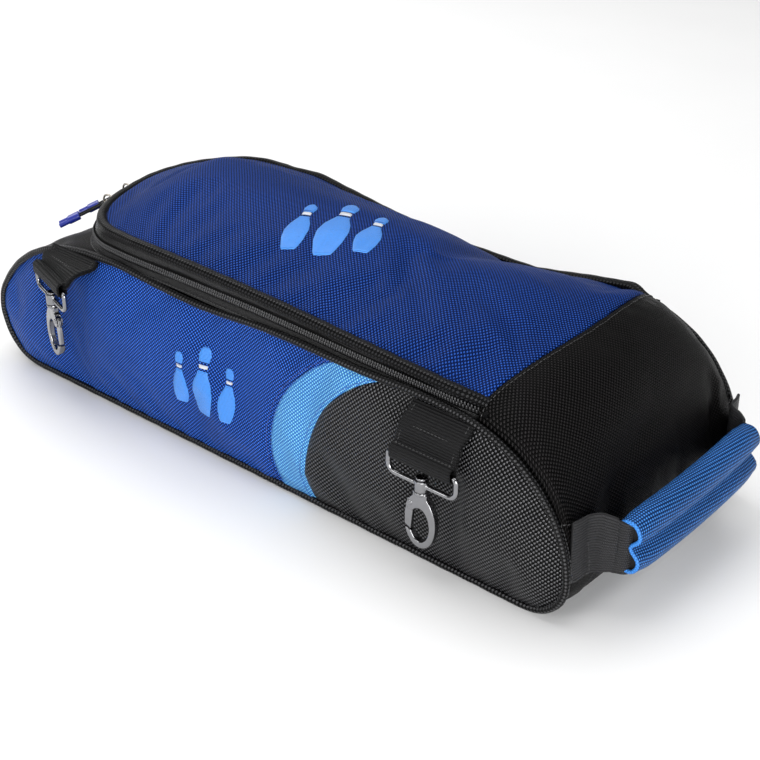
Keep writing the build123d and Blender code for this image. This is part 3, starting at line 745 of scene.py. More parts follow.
def build_side(side, rows):
    sign = SIDES[side]
    if sign > 0:
        rows = rows * np.array([1, -1, 1])
    uv = rows[..., [0, 2]]
    cuts = {"blue": (0, N_BLUE, M_BLUE_SIDE_LIT, "ballistic_blue"),
            "band": (N_BLUE - 1, N_BLUE + N_BAND - 1, M_LIGHT, "ballistic_light_blue"),
            "black": (N_BLUE + N_BAND - 2, N_BLUE + N_BAND + N_BLACK - 2, M_BLACK_SIDE_LIT, "ballistic_black")}
    for key, (first, last, material, slot) in cuts.items():
        last += key != "black"   # each field reaches under the next one, with its edge turned in
        part = rows[:, first:last].copy()
        if key != "black":
            part[:, -1, 1] -= sign * 1.6
        obj = grid(f"{side}_side_{key}_cloth", part, uv[:, first:last], material=material, flip=sign > 0)
        subdivide(thicken(obj, 3.0))
        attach(obj, "shell")
        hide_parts(f"{side}_side_{key}")
    tree = surface_of(rows)
    for name, column, shift, material in (
            ("seam_front_blue", N_BLUE - 1, -2.2, M_THREAD_BLUE),
            ("seam_front_light", N_BLUE - 1, 2.0, M_THREAD_LIGHT),
            ("seam_back_light", N_BLUE + N_BAND - 2, -2.0, M_THREAD_LIGHT)):
        path = rows[1:-1, column] + np.array([shift, 0, 0])
        path = drop_on(tree, evenly(path, 90), (0, -sign, 0), 0.25)
        obj = stitches(f"{side}_{name}", path, (0, sign, 0), material)
        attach(obj, "shell")
    return tree


def build_piping(side):
    sign = SIDES[side]
    line = evenly(outline(), 420, closed=True)
    x, z = line[:, 0], line[:, 1]
    path = np.stack([x, sign * edge_y(x, z), lifted(x, z)], 1)
    obj = sweep(f"{side}_piping_cord", path, round_section(2.45, 2.45, 12), (0, sign, 0), True,
                material=M_PIPING, scale=uneven(len(path), (0.03, 0.9), (0.03, 0.37)))
    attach(obj, "shell")
    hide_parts(f"{side}_piping")
    centre = np.array([0, 0, 60.0])
    inward = unit((centre - path) * np.array([0.3, 0, 1]))
    place = path + inward * 2.2 + np.array([0, sign, 0])
    obj = stitches(f"{side}_piping_stitch_inner", place[::2], (0, sign, 0), M_THREAD_BLACK, 3.4)
    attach(obj, "shell")


# ---- lid outline and wall -----------------------------------------------------------
WALL_POINTS = 340


def pinch(x):
    return PINCH * hill(x, -8, 120)


def tuck(x):
    """How far the last stretch of the zip turns in under the seam of the end panel."""
    return 6.0 * ramp(LID_END - 20, LID_END, x)


def dip(x):
    """How far the last stretch of the zip goes down there."""
    return 0.7 * tuck(x)


def lid_line(grow, end_x, count):
    """U of the lid from the right end round the nose to the left end: points and outward normals."""
    right = np.stack([np.linspace(end_x, LID_CORNER[0], 120), np.full(120, -HALF - grow)], 1)
    corner = turn((LID_CORNER[0], -LID_CORNER[1]), LID_CORNER[2] + grow, 270, 180 + LID_SWING, 24)
    nose = turn(LID_NOSE[:2], LID_NOSE[2] + grow, 180 + LID_SWING, 180, 40)
    half = np.vstack([right, corner[1:], nose[1:]])
    half[:, 1] += pinch(half[:, 0]) + tuck(half[:, 0])
    mirrored = half[::-1][1:] * np.array([1, -1])
    line = evenly(np.vstack([half, mirrored]), count)
    tangent = unit(np.gradient(line, axis=0))
    return line, np.stack([-tangent[:, 1], tangent[:, 0]], 1)


def zip_z(x):
    return 127.0 - 0.008 * x


def rim_z(x):
    return 134.8 - 0.030 * x


def wall(name, offsets, material):
    """Strip along the lid outline from (out, up, base) offsets, base being "zip" or "rim"."""
    line, normal = lid_line(0, LID_END, WALL_POINTS)
    step = np.arange(WALL_POINTS)
    sway = 0.5 * np.sin(step * 0.21) * np.sin(step * 0.047)
    rows = []
    for out, up, base in offsets:
        height = (zip_z if base == "zip" else rim_z)(line[:, 0]) + up - dip(line[:, 0])
        place = line + normal * (out + sway)[:, None]
        rows.append(np.column_stack([place, height]))
    rows = np.stack(rows, 1)
    obj = grid(name, rows, material=material)
    return obj


def on_lid(obj, *nodes):
    """Bakes the object's transform into its mesh, and hides the CAD pieces it stands in for."""
    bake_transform(obj)
    if nodes:
        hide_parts(*nodes)
    return obj


TEETH = 430
TOOTH_SAMPLES = 1150         # points that the zip line is read from for the teeth


def build_wall():
    lower = wall("lower_boxing_cloth", [(-3.0, -26, "zip"), (-2.2, -14, "zip"), (-0.4, -9.4, "zip"),
                                        (0.4, -8.4, "zip")], M_GUSSET)
    subdivide(thicken(lower, 2.5))
    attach(lower, "shell")
    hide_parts("lower_boxing")
    shelf = wall("lower_zip_tape_cloth", [(2.1, -9.4, "zip"), (2.5, -8.9, "zip"), (2.0, -8.2, "zip"),
                                          (0.8, -5.6, "zip"), (-0.2, -3.4, "zip"), (-0.9, -3.0, "zip")],
                 M_TAPE)
    subdivide(thicken(shelf, 0.8))
    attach(shelf, "shell")
    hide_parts("lower_zip_tape")
    for name, sign in (("lower", -1), ("upper", 1)):
        edge = 0.45 * sign
        ribs = [(-1.1, 0.0), (-0.5, 1.2), (-0.5, 2.8), (-1.0, 3.4)]
        strip = wall(f"{name}_zip_ribs", [(out, edge + up * sign, "zip") for out, up in ribs], M_RIBTAPE)
        thicken(strip, 0.6)
        line, normal = lid_line(0, LID_END - 5, TOOTH_SAMPLES)
        shift = 0.5 if sign > 0 else 0.0
        index = (np.arange(TEETH) + shift) * ((TOOTH_SAMPLES - 1) / TEETH)
        samples = np.arange(TOOTH_SAMPLES)
        x, y, nx, ny = (np.interp(index, samples, way[:, k]) for way in (line, normal) for k in (0, 1))
        z = zip_z(x) + sign * 1.15 - dip(x)
        out = np.stack([nx, ny, 0 * nx], 1)
        centres = np.stack([x, y, z], 1) + out * 0.5
        axes = np.tile([0, 0, 1.0], (len(x), 1)) + out * 0.15
        teeth = beads(f"{name}_zip_teeth", centres, axes, 1.4, 0.68, M_TEETH, 0.9, out)
        if sign < 0:
            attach(strip, "shell")
            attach(teeth, "shell")
            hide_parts("lower_zip_coil")
        else:
            on_lid(strip)
            on_lid(teeth, "upper_zip_coil")
    upper = wall("upper_zip_tape_cloth", [(-0.9, 3.0, "zip"), (-0.3, 3.6, "zip"), (0.2, 4.6, "zip"),
                                          (0.2, -2.0, "rim"), (-0.4, -0.6, "rim"), (-1.4, 0.4, "rim")],
                 M_TAPE)
    subdivide(thicken(upper, 0.8))
    on_lid(upper, "upper_zip_tape", "lid_boxing")
    line, normal = lid_line(-2.6, LID_END, 460)
    path = np.column_stack([line, rim_z(line[:, 0]) + 1.6 - dip(line[:, 0])])
    welt = sweep("lid_welt_cloth", path, round_section(4.0, 3.9, 16), (0, 0, 1), material=M_WELT,
                 scale=uneven(len(path), (0.025, 0.7), (0.02, 0.31)))
    on_lid(welt, "lid_welt")
    line, normal = lid_line(2.2, LID_END - 3, 400)
    path = np.column_stack([line, zip_z(line[:, 0]) - 7.3 - dip(line[:, 0])])
    outward = np.column_stack([normal, np.full(len(normal), 0.4)])
    obj = stitches("zip_stitch_low", path, outward, M_THREAD_BLACK, 3.0, lift=0.4)
    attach(obj, "shell")


# ---- handle end panel, nose gusset, back --------------------------------------------
def seam_x(y):
    return 192 + 13 * (1 - np.clip(abs(y) / LID_EDGE_Y, 0, 1) ** 2)


def seam_z(y):
    t = np.clip(abs(np.asarray(y, float)) / HALF, 0, 1)
    return 116 + 30 * np.maximum(1 - t**2.6, 0) ** 0.45


def end_profile(y, count):
    """Profile of the handle end panel at one y, from the lid seam down to the back panel."""
    t = min(abs(y) / HALF, 1)
    swell = 10.5 * max(1 - t**2.6, 0) ** 0.4
    mouth = np.array([float(seam_x(y)), float(seam_z(y))])
    cx, cz, big = END_BIG
    start = math.atan2(mouth[1] - cz, mouth[0] - cx)
    radii = (np.linalg.norm(mouth - (cx, cz)), big + swell, big + swell / 3)
    angles = np.linspace(start, 0, int(count * 0.72))
    mid = math.radians(38)
    weights = [
        (angles - mid) * angles / ((start - mid) * start),
        (angles - start) * angles / ((mid - start) * mid),
        (angles - start) * (angles - mid) / (start * mid),
    ]
    radius = sum(w * r for w, r in zip(weights, radii))
    upper = np.stack([cx + radius * np.cos(angles), cz + radius * np.sin(angles)], 1)
    low = np.radians(np.linspace(0, -90, count - len(upper) + 1))[1:]
    r = END_LOW[2] + swell / 3 * np.cos(low) ** 2
    lower = np.stack([END_LOW[0] + r * np.cos(low), END_LOW[1] + r * np.sin(low)], 1)
    return evenly(np.vstack([upper, lower]), count)


def spread(count, edge=0.55):
    """Positions from -1 to 1, closer together at both ends."""
    t = np.linspace(-1, 1, count)
    return mix(t, np.sin(t * math.pi / 2), edge)


def panel_uv(rows, y=None):
    """Width and length along the cloth, in millimetres."""
    lengths = np.linalg.norm(np.diff(rows, axis=1), axis=2)
    along = np.concatenate([np.zeros((len(rows), 1)), np.cumsum(lengths, 1)], 1)
    return np.stack([rows[..., 1] if y is None else y, along], 2)


def end_rows():
    t = spread(50)
    rows = []
    for k in t:
        y = k * (HALF + 0.6)
        profile = end_profile(y, 46)
        rows.append(np.column_stack([profile[:, 0], np.full(len(profile), y), profile[:, 1]]))
    rows = np.array(rows)
    x, y, z = rows[..., 0], rows[..., 1], rows[..., 2]
    side = abs(y) / HALF
    dent = 3.0 * hill(z, 92, 10) * hill(x, 246, 14) * (1 - side**4)
    fold = 1.6 * hill(z - 0.35 * y, 96, 7) * hill(y, -40, 50)
    fold = fold + 1.5 * hill(x - 0.15 * y, 214, 6) * hill(y, -78, 26)
    fold = fold + 1.2 * hill(x + 0.2 * y, 216, 6) * hill(y, 70, 30)
    out = unit(np.stack([x - END_BIG[0], 0 * x, z - END_BIG[1]], 2))
    rows = rows - out * (dent + fold)[..., None] * (1 - side**6)[..., None]
    gap = np.minimum(HALF - abs(y), 60)
    hold = np.exp(-gap / 2.0)
    hold[:, 0], hold[:, -1] = 1, 1
    hold = np.maximum(hold, hill(z, END_LOW[1] + 20, 24) * ramp(72, 82, abs(y)))
    return puff(rows, hold, 2.6, 0.015, 3.5, 2.0)


def build_end():
    rows = end_rows()
    obj = grid("handle_end_cloth", rows, panel_uv(rows), material=M_BLACK_END_SHADED)
    subdivide(thicken(obj, 3.0))
    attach(obj, "shell")
    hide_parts("handle_end_panel")
    top = rows[1:-1, 0] + (rows[1:-1, 1] - rows[1:-1, 0]) * 0.8
    path = through(top, 200)
    obj = stitches("end_seam_stitch", path, (0.2, 0, 1), M_THREAD_BLACK, 3.4, lift=0.4)
    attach(obj, "shell")
    return rows


def build_gusset():
    line = outline()
    start = int(np.argmin(np.linalg.norm(line - (-100, TOP), axis=1)))
    profile = np.vstack([line[start:], line[:1]])
    profile = evenly(profile, 60)
    zip_line = lid_line(0, LID_END, WALL_POINTS)[0]
    zip_line = zip_line[(zip_line[:, 1] >= 0) & (zip_line[:, 0] < LID_CORNER[0])]
    rows = []
    for k in spread(34):
        y = k * (HALF + 0.6)
        centre = np.array([-150.0, 20.0])
        out = unit(profile - centre)
        swell = 3.5 * (1 - abs(k) ** 3) - 2.0 * hill(abs(k), 0.86, 0.05)
        place = profile + out * swell
        edge = min(place[0, 0], float(np.interp(abs(y), zip_line[:, 1], zip_line[:, 0])) + 4.0)
        first = max(int(np.argmax(place[:, 0] < edge)), 1)
        share = (edge - place[first - 1, 0]) / (place[first, 0] - place[first - 1, 0])
        start = mix(place[first - 1], place[first], share)
        place = evenly(np.vstack([start, place[first:]]), 60)
        rows.append(np.column_stack([place[:, 0], np.full(len(place), y), place[:, 1]]))
    rows = np.array(rows)
    x, y = rows[..., 0], rows[..., 1]
    rows[..., 2] -= (1.4 * hill(x + 0.4 * y, -236, 7) * hill(y, -70, 30)
                     + 1.2 * hill(x - 0.3 * y, -226, 8) * hill(y, 60, 40))
    gap = HALF - abs(y)
    hold = np.exp(-gap / 2.0)
    hold[:, 0], hold[:, -1] = 1, 1
    rows = puff(rows, hold, 2.0, 0.01, 2.5, 2.0)
    obj = grid("nose_gusset_cloth", rows, panel_uv(rows, y), material=M_BLACK_END_SHADED, flip=True)
    subdivide(thicken(obj, 3.0))
    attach(obj, "shell")
    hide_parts("end_gusset")


def build_back():
    xs = np.linspace(NOSE_LOW[0] - 2, END_LOW[0] + 2, 70)
    ys = spread(34) * (HALF + 0.5)
    x, y = np.meshgrid(xs, ys)
    rim = np.minimum(HALF + 0.5 - abs(y), np.minimum(x - xs[0], xs[-1] - x))
    z = 0.4 + 2.0 * np.exp(-rim / 4.0) + 0.15 * np.sin(x / 21) * np.sin(y / 17)
    rows = np.stack([x, y, np.maximum(z, 0.25)], 2)
    obj = grid("back_panel_cloth", rows, rows[..., :2], material=M_BACK, flip=True)
    subdivide(thicken(obj, 3.2))
    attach(obj, "shell")
    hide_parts("back_panel")
    loop = [(xs[0] + 9, -HALF + 8), (xs[-1] - 9, -HALF + 8), (xs[-1] - 9, HALF - 8), (xs[0] + 9, HALF - 8)]
    path = evenly(np.array(loop), 420, closed=True)
    path = np.column_stack([path, np.full(len(path), 0.35)])
    obj = stitches("back_panel_stitch", path, (0, 0, -1), M_THREAD_BLACK, 3.4, lift=0.0)
    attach(obj, "shell")


# ---- lid ----------------------------------------------------------------------------
LID_EDGE_Y = 92.7


LID_FOLDS = (                # height, slope, y at the seam, width, middle x, reach
    (1.7, 0.42, -58, 5, 165, 34),
    (1.5, 0.38, -32, 5.5, 160, 32),
    (-1.4, 0.40, -45, 6, 165, 30),
    (1.2, 0.30, 6, 7, 150, 34),
    (0.8, -0.35, 62, 6, 160, 30),
)


def lid_nose_x(y):
    shrink = HALF - LID_EDGE_Y
    big, small = (np.array(arc) - (0, 0, shrink) for arc in (LID_NOSE, LID_CORNER))
    at_nose = abs(y) < big[2] * math.sin(math.radians(LID_SWING))
    return np.where(at_nose, on_arc(big, y, -1), on_arc(small, abs(y), -1))


def lid_rows():
    """Lid panel as rows from right to left, each row from the nose to the fold."""
    t = spread(62, 0.8)
    s = np.linspace(0, 1, 92)
    s = mix(s, 1 - np.cos(s * math.pi / 2), 0.5)
    rows = []
    for k in t:
        y = k * LID_EDGE_Y
        a, b = float(lid_nose_x(y)), float(seam_x(y)) + 0.4
        x = a + (b - a) * s
        far = ramp(30, 90, x) if k > 0 else 0 * x
        across = mix(1 - abs(k) ** 2.4, (1 - abs(k) ** 1.35) ** (1 / 0.85), far)
        crown = 24.5 - 3.5 * ramp(110, 200, x) + 1.5 * hill(x, 20, 60)
        crown = crown - 4.0 * ramp(0.05, 0.45, k) * hill(x, 0, 95)
        nose = 1 - np.exp(-(x - a) / 42)
        z = rim_z(x) + 2.0 + crown * across**0.85 * nose
        join = ramp(150, 196, x)
        target = float(seam_z(y)) - 0.4
        z = mix(z, target + (b - x) * 0.10 * across, join)
        rows.append(np.column_stack([x, y - k * pinch(x), z]))
    rows = np.array(rows)
    x, y, z = rows[..., 0], rows[..., 1], rows[..., 2]
    fade = (1 - (abs(y) / LID_EDGE_Y) ** 6) * ramp(0, 14, b - x + 0 * y)
    folds = 0.9 * np.sin((x + 1.3 * y) / 8.5) * hill(x + 0.5 * y, 110, 42) * hill(y, -50, 34)
    for height, slope, at, wide, middle, reach in LID_FOLDS:
        folds = folds + height * hill(y + slope * (x - 190), at, wide) * hill(x, middle, reach)
    rows[..., 2] = z + folds * fade
    gap = np.minimum(LID_EDGE_Y - abs(y), x - x[:, :1])
    hold = np.exp(-np.maximum(gap, 0) / 1.5)
    hold[[0, -1]] = hold[:, [0, -1]] = 1
    return puff(rows, hold, 2.4, 0.012, 3.5, 1.2)


def build_lid():
    rows = lid_rows()
    obj = grid("lid_cloth", rows, rows[..., :2], material=M_BLUE_LID_SHADED)
    subdivide(thicken(obj, 3.0))
    on_lid(obj, "lid_panel")
    return rows


# ---- embroidery: a plain set of bowling pins ----------------------------------------
PIN = ((0.0, 0.10), (0.04, 0.125), (0.18, 0.17), (0.33, 0.185), (0.48, 0.15), (0.62, 0.085), (0.71, 0.066),
       (0.80, 0.082), (0.88, 0.098), (0.95, 0.078), (0.99, 0.03))


def sewn_patch(name, centre, way, across, size, tree, cast, material, table, body, part=(0.0, 1.0)):
    """Satin patch whose half width along way follows a table of (share, half width)."""
    way, across = np.asarray(way, float), np.asarray(across, float)
    share = np.linspace(part[0], part[1], 46)
    half = np.interp(share, [a for a, _ in table], [b for _, b in table])
    soft = through(np.column_stack([share, half]), 46)
    side = np.linspace(-1, 1, 11)
    base = []
    for s, w in soft:
        for k in side:
            base.append(np.asarray(centre) + way * (s - 0.5) * size + across * w * k * size)
    flat = drop_on(tree, base, cast, 0.0)
    high = drop_on(tree, base, cast, 1.3)
    raise_by = np.tile((1 - abs(side) ** 5) * 0.85 + 0.15, len(soft))
    ends = np.repeat(np.clip(np.minimum(np.arange(46), np.arange(46)[::-1]) / 2.0, 0.15, 1), len(side))
    points = flat + (high - flat) * (raise_by * ends)[:, None]
    rows = points.reshape(len(soft), len(side), 3)
    across_uv = np.tile(side, (len(soft), 1)) * size * 0.2
    uv = np.stack([across_uv, np.repeat(soft[:, :1] * size, len(side), 1)], 2)
    obj = grid(name, rows, uv, material=material)
    if body == "lid":
        on_lid(obj)
    else:
        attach(obj, body)
    return obj


def build_badge(prefix, tree, centre, way, across, size, cast, body):
    way, across = unit(way), unit(across)
    for name, shift, drop, share in (("centre", 0.0, 0.0, 1.0), ("left", -0.42, -0.06, 0.78),
                                     ("right", 0.42, -0.06, 0.78)):
        place = np.asarray(centre) + across * shift * size + way * drop * size
        scale = size * share
        for part, (a, b) in (("base", (0.0, 0.66)), ("neck", (0.70, 0.745)), ("head", (0.785, 0.99))):
            sewn_patch(f"{prefix}_pin_{name}_{part}", place, way, across, scale, tree, cast,
                       M_SATIN if part != "neck" else M_SATIN_WHITE, PIN, body, (a, b))


# ---- straps and clips ---------------------------------------------------------------
def clip_axes(name):
    """Bar centre, direction along the bar, and direction outwards."""
    x, side, up, yaw, _ = CLIPS[name]
    a = math.radians((180 if side > 0 else 0) + yaw)
    return (np.array([x, side * CLIP_OUT, up]), np.array([math.cos(a), math.sin(a), 0]),
            np.array([math.sin(a), -math.cos(a), 0]))


WEB_WIDE = 48.0              # webbing of the clips
EYE_R = 3.15                 # middle of the webbing round the bail bar
LAYER = 1.05                 # half the distance between the two layers of a strap


def strap_line(name):
    """Middle line of a folded strap from its seam to the bar, with its width directions."""
    x, side, _, _, lean = CLIPS[name]
    bar, ux, _ = clip_axes(name)
    foot = np.array([x + lean, side * (PIPE_Y + 0.6), 117.0])
    out = np.array([0, float(side), 0])
    drop = foot[2] - bar[2]
    line = [foot, foot + out * 4.4 - (0, 0, 4.5), mix(foot, bar, 0.42) + out * 4.0 + (0, 0, 0.04 * drop),
            mix(foot, bar, 0.72) + out * 2.4, bar + (0, 0, EYE_R + 1.6), bar + (0, 0, EYE_R - 0.6)]
    path = through(line, 40)
    share = np.linspace(0, 1, 40)[:, None]
    start = np.array([1.0 if side < 0 else -1.0, 0, 0])
    across = unit(mix(start, ux, ramp(0.1, 0.75, share)))
    return path, across


def build_strap(name):
    bar, ux, out = clip_axes(name)
    path, across = strap_line(name)
    tangent = unit(np.gradient(path, axis=0))
    normal = unit(np.cross(across, tangent))
    normal = normal * np.sign((normal * out).sum(1))[:, None]
    pull_in = ramp(30, 39, np.arange(40))[:, None] * (EYE_R - LAYER)
    front = path + normal * (LAYER + pull_in)
    rear = (path - normal * (LAYER + pull_in))[::-1]
    a = np.radians(np.linspace(8, 172, 16))[:, None]
    eye = bar + out * EYE_R * np.cos(a) - np.array([0, 0, 1.0]) * EYE_R * np.sin(a)
    loop = np.vstack([front[:-1], eye, rear[1:]])
    wide = np.vstack([across[:-1], np.tile(ux, (16, 1)), across[::-1][1:]])
    tangent = unit(np.gradient(loop, axis=0))
    face = unit(np.cross(wide, tangent))
    if (face[5] * out).sum() < 0:
        face = -face
    section = strap_section(WEB_WIDE, 1.7)
    rows = loop[:, None] + section[None, :, :1] * wide[:, None] + section[None, :, 1:] * face[:, None]
    cup = 0.9 * (section[:, 0] / (WEB_WIDE / 2)) ** 2
    bend = hill(np.arange(len(loop)), 16, 12) - hill(np.arange(len(loop)), len(loop) - 17, 12)
    rows = rows + cup[None, :, None] * bend[:, None, None] * face[:, None]
    flip = (np.cross(wide[5], tangent[5]) @ face[5]) < 0
    obj = grid(f"{name}_strap_web", rows, closed=True, caps=True, material=M_WEB, flip=flip)
    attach(obj, "shell")
    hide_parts(f"{name}_strap")
    width = np.linspace(-21, 21, 40)[:, None]
    seams = [(f"stitch_{key}", loop[row] + wide[row] * width + face[row] * 1.0, face[row])
             for key, row in (("low", 33), ("mid", 17))]
    seams += [(f"edge_{key}", loop[4:34] + wide[4:34] * offset + face[4:34] * 1.05, face[18])
              for key, offset in (("a", -20.8), ("b", 20.8))]
    for key, line, outward in seams:
        sewn = stitches(f"{name}_strap_{key}", line, outward, M_THREAD_BLACK, 2.6, 1.0)
        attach(sewn, "shell")


def dress(node, material):
    """Gives a CAD piece that stays in view its material."""
    NODES[node].data.materials.clear()
    NODES[node].data.materials.append(material)


def build_clip(name):
    for piece, voxel, rounds in (("bail", 0.45, 6), ("hook", 0.42, 9), ("gate", 0.32, 5)):
        obj = soften(f"{name}_{piece}", voxel, rounds, M_NICKEL)
        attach(obj, f"{name}_{piece}")
    dress(f"{name}_gate_spring", M_SPRING)
    low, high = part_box(f"{name}_gate_pin")
    centre = np.array((low + high) / 2) / MM
    _, ux, out = clip_axes(name)
    t = np.linspace(0, 1, 12)
    for key, way in (("front", 1), ("rear", -1)):
        profile = np.column_stack([1.9 * np.cos(t * math.pi / 2), 0.75 * np.sin(t * math.pi / 2)])
        rows = []
        for r, h in profile:
            a = np.linspace(0, 2 * math.pi, 24, endpoint=False)[:, None]
            ring = centre + out * way * (2.3 + h) + r * (ux * np.cos(a) + np.array([0, 0, 1.0]) * np.sin(a))
            rows.append(ring)
        head = grid(f"{name}_rivet_{key}", rows, closed=True, caps=True, material=M_NICKEL, flip=way < 0)
        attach(head, f"{name}_hook")
    dress(f"{name}_gate_pin", M_NICKEL)


# ---- zip sliders and pulls ----------------------------------------------------------
def build_pulls():
    for side in SIDES:
        for node, body, voxel, rounds, material, slot in (
                ("zip_slider", "slider", 0.3, 4, M_NICKEL_WARM, "nickel"),
                ("pull_ring", "pull", 0.2, 1, M_NICKEL_WARM, "nickel"),
                ("pull_tip", "pull", 0.4, 6, M_PULL, "pull_blue"),
                ("pull_cord", "pull", 0.25, 2, M_CORD, "cord_black")):
            obj = soften(f"{side}_{node}", voxel, rounds, material)
            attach(obj, f"{side}_{body}")


# ---- carry handle -------------------------------------------------------------------
HANDLE_Z = 54.0
WRAP_X = 289.5
WRAP_HALF = 70.5
WRAP_IN = 1.8                # the wrap sits this much inside and above the webbing line
WRAP_UP = 1.6


def build_handle(end_tree):
    half_web = 20.0
    for side, sign in SIDES.items():
        near = np.array([[x, sign * y, HANDLE_Z] for x, y in ((230.0, 98.5), (240.0, 90.5), (240.0, 83.5))])
        flat = drop_on(end_tree, near, (-1, 0, 0), 1.4)
        flat[0] = flat[1] + (flat[1] - flat[2]) * 0.9
        flat[0, 0] -= 1.0
        crease = np.array([flat[2][0] + 7.5, sign * 77.5, HANDLE_Z + 1])
        legs = [*flat, crease + (-3.2, sign * 1.6, 0), crease + (1.5, 0.4 * sign, 0),
                crease + (7.0, -sign * 2.2, 0)]
        legs += [(WRAP_X - x, sign * y, HANDLE_Z) for x, y in ((7, 74.0), (1.8, 71.0), (0.4, 63.5))]
        path = through(legs, 60)
        share = np.linspace(0, 1, 60)
        width = mix(1.0, 0.84, ramp(0.45, 0.8, share))
        section = strap_section(2 * half_web + 5, 1.9)
        tangent = unit(np.gradient(path, axis=0))
        up = np.tile([0, 0, 1.0], (60, 1))
        up[:, 0] += 0.10 * hill(share, 0.55, 0.2)
        normal = unit(np.cross(up, tangent)) * -sign
        up = unit(up)
        rows = (path[:, None] + section[None, :, :1] * up[:, None] * width[:, None, None]
                + section[None, :, 1:] * normal[:, None])
        cup = (section[:, 0] / half_web) ** 2
        rows = rows + (cup[None, :, None] * normal[:, None] * 1.6 * hill(share, 0.6, 0.2)[:, None, None])
        obj = grid(f"{side}_handle_leg", rows, closed=True, caps=True, material=M_WEB_LONG_LIT)
        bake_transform(obj)
        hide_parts(f"{side}_handle_anchor")
        first, last = flat[0][1], flat[2][1]
        loop = evenly([[first, -18], [last, -18], [last, 18], [first, 18]], 60, closed=True)
        loop = np.column_stack([np.full(60, 280.0), loop[:, 0], HANDLE_Z + loop[:, 1]])
        loop = drop_on(end_tree, loop, (-1, 0, 0), 2.6)
        sewn = stitches(f"{side}_handle_box_stitch", np.vstack([loop, loop[:1]]), (1, 0, 0.2),
                        M_THREAD_BLACK, 2.8, 1.1)
        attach(sewn, "shell")
    y = spread(60, 0.25) * WRAP_HALF
    count = 48
    a = np.linspace(0, 2 * math.pi, count, endpoint=False)
    rows = []
    for k in y:
        end = 1 - 0.10 * hill(abs(k), WRAP_HALF, 9)
        lobe = np.array([lobe_point(t, end) for t in a])
        bow = 2.5 * (1 - (k / WRAP_HALF) ** 2)
        rows.append(np.column_stack([lobe[:, 0] + bow, np.full(count, k), lobe[:, 1]]))
    rows = np.array(rows)
    obj = grid("handle_wrap_cloth", rows, closed=True, material=M_WRAP)
    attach(obj, "handle")
    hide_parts("handle_wrap", "handle_webbing")
    thicken(obj, 1.4)
    for side, index in (("right", 0), ("left", -1)):
        ring = rows[index]
        edge = sweep(f"{side}_wrap_binding", ring, round_section(1.3, 1.3, 10), (0, 1, 0), True,
                     material=M_BINDING)
        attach(edge, "handle")
        inner = ring * 0.97 + np.mean(ring, 0) * 0.03
        inner[:, 1] += -2.5 * np.sign(ring[0, 1])
        centre = inner.mean(0)
        discs = [inner * (1 - f) + centre * f for f in (0.0, 0.35, 0.7, 0.98)]
        foam = grid(f"{side}_wrap_foam", discs, closed=True, material=M_LINING, flip=index != 0)
        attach(foam, "handle")


def lobe_point(t, end):
    """Wrap section: two padded lobes with a deep crease outside and a shallow one inside."""
    x, z = math.cos(t), math.sin(t)
    reach = 19.4 * end
    outer = 10.0 * end
    waist = math.exp(-((z / 0.30) ** 2))
    deep = 7.4 if x > 0 else 3.0
    px = outer * math.copysign(abs(x) ** 0.75, x) - math.copysign(deep * waist * min(1, abs(x) * 1.5), x)
    return WRAP_X - WRAP_IN + px, HANDLE_Z + reach * math.copysign(abs(z) ** 0.95, z) + WRAP_UP


# ---- everything ---------------------------------------------------------------------
side_panel = limit_near_hooks(side_rows())
trees = {}
for which in SIDES:
    trees[which] = build_side(which, side_panel)
    build_piping(which)
end_tree = surface_of(build_end())
build_gusset()
build_back()
lid_tree = surface_of(build_lid())
build_wall()
build_badge("lid_badge", lid_tree, (12, -17.5, 200), (-0.35, 0.94, 0), (-0.94, -0.35, 0), 62, (0, 0, -1),
            "lid")
for which, sign in SIDES.items():
    build_badge(f"{which}_badge", trees[which], (-36, sign * 150, 62), (0, 0, 1), (sign, 0, 0), 52,
                (0, -sign, 0), "shell")
for clip in CLIPS:
    build_strap(clip)
    build_clip(clip)
build_pulls()
build_handle(end_tree)
dress("base_board", M_BOARD)
dress("zip_stops", M_GUSSET)


SAG_X = (-203, -140, -90, -30, 30, 100, 150, 192)
SAG_DEPTH = (2, 5, 11, 17, 21, 19, 8, 0)
RIGID = ("_cast", "_rivet", "_strap_web", "_strap_stitch", "_strap_edge", "handle_leg", "wrap", "back_panel")


def slumped(points):
    """The far side of the bag hangs lower between its two ends, and the lid leans back at the nose."""
    x, y, z = points[..., 0], points[..., 1], points[..., 2]
    share = np.clip(y / HALF, 0, 1) ** mix(1.6, 1.35, ramp(30, 90, x))
    depth = np.interp(x, SAG_X, SAG_DEPTH)
    out = points.copy()
    out[..., 2] = z - depth * share * ramp(40, 118, z)
    middle = np.array(LID_NOSE[:2])
    away = out[..., :2] - middle
    reach = np.linalg.norm(away, axis=-1)
    at_nose = ramp(-95, -150, x) * ramp(129.5, 139, z) * ramp(60, 112, reach)
    near = ramp(-30, -78, y)
    below_zip = near * ramp(-110, -165, x) * ramp(112, 124, z) * ramp(60, 112, reach)
    inward = at_nose * (8.5 - 4.5 * near) + 3.0 * below_zip
    out[..., :2] -= away / np.maximum(reach, 1)[..., None] * inward[..., None]
    out[..., 2] -= at_nose * (5.0 - 2.0 * near)
    return out


def slump_far_side():
    for obj in bpy.data.objects:
        if obj.type != "MESH" or "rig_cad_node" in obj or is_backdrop(obj):
            continue
        if any(word in obj.name for word in RIGID):
            continue
        points = np.empty(len(obj.data.vertices) * 3)
        obj.data.vertices.foreach_get("co", points)
        moved = slumped(points.reshape(-1, 3) / MM) * MM
        obj.data.vertices.foreach_set("co", moved.ravel())
        obj.data.update()


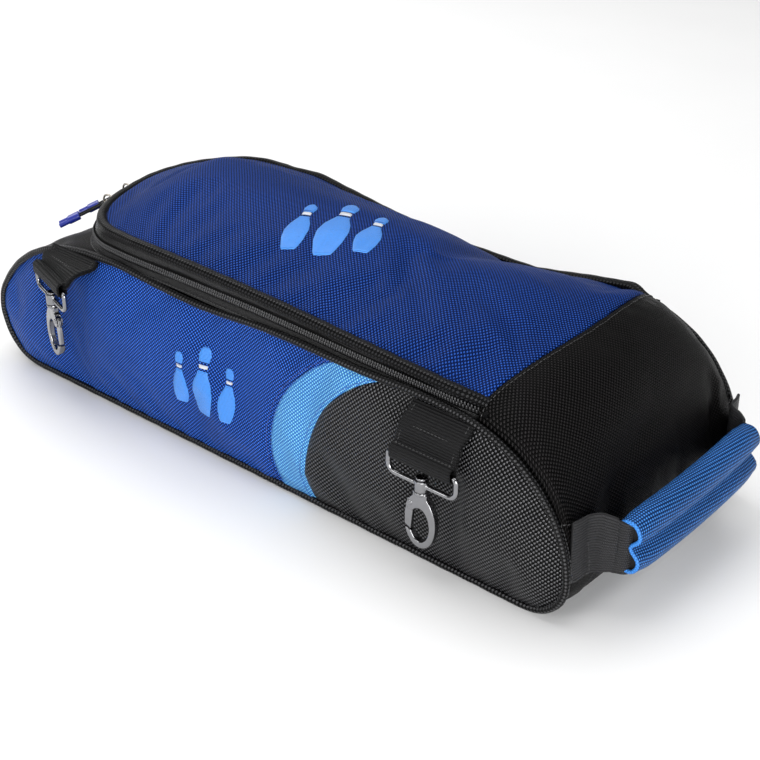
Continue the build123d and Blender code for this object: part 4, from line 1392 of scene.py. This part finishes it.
# ---- floor, light and camera --------------------------------------------------------
def paper(name, rgb):
    f = Finish(name)
    tone = f.noise(120, 2)
    paint = f.mixed(tone, colour(rgb, 0.985), colour(rgb, 1.015))
    return f.set(Base_Color=paint, Roughness=0.9, Specular_IOR_Level=0.2)


FLOOR = 6000                 # half the side of the floor
FLOOR_Z = -0.3               # just under the piping, so that they never share a plane
corners = [(x * FLOOR, y * FLOOR, FLOOR_Z) for x, y in ((-1, -1), (1, -1), (1, 1), (-1, 1))]
floor = make_object("floor", corners, [(0, 1, 2, 3)], None, paper("floor_paper", (0.93, 0.93, 0.93)))
floor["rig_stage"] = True


def lamp(name, place, target, size, power):
    data = bpy.data.lights.new(name, "AREA")
    data.shape = "RECTANGLE"
    data.size, data.size_y = size
    data.energy = power
    obj = bpy.data.objects.new(name, data)
    bpy.context.scene.collection.objects.link(obj)
    obj.location = place
    obj.rotation_mode = "QUATERNION"
    obj.rotation_quaternion = (Vector(target) - Vector(place)).to_track_quat("-Z", "Y")


lamp("key_above", (-0.2, 0.3, 1.9), (0, 0, 0.1), (2.2, 2.2), 34)
lamp("side_right", (1.1, -1.0, 0.4), (0.1, 0, 0.05), (0.9, 0.7), 17)
lamp("front_low", (-0.3, -1.6, 0.8), (0, 0, 0.06), (1.2, 0.7), 9)
lamp("rim_left", (-1.4, 0.4, 0.9), (-0.1, 0, 0.1), (0.8, 0.8), 7)

world = bpy.data.worlds.new("studio")
bpy.context.scene.world = world
world.use_nodes = True
sky = world.node_tree.nodes["Background"]
sky.inputs["Color"].default_value = (1, 1, 1, 1)
sky.inputs["Strength"].default_value = 0.2
bpy.context.scene.view_settings.view_transform = "Standard"

FOCAL_MM = 75.17
SENSOR_MM = 36
CAMERA_AT = (0.6700, -0.7475, 0.6180)
CAMERA_WAY = (-0.5590, 0.6572, -0.5056)
lens = bpy.data.cameras.new("camera")
lens.lens = FOCAL_MM
lens.sensor_width = SENSOR_MM
lens.clip_start = 0.02
camera = bpy.data.objects.new("camera", lens)
bpy.context.scene.collection.objects.link(camera)
camera.location = CAMERA_AT
camera.rotation_mode = "QUATERNION"
camera.rotation_quaternion = Vector(CAMERA_WAY).to_track_quat("-Z", "Y")
bpy.context.scene.camera = camera

slump_far_side()
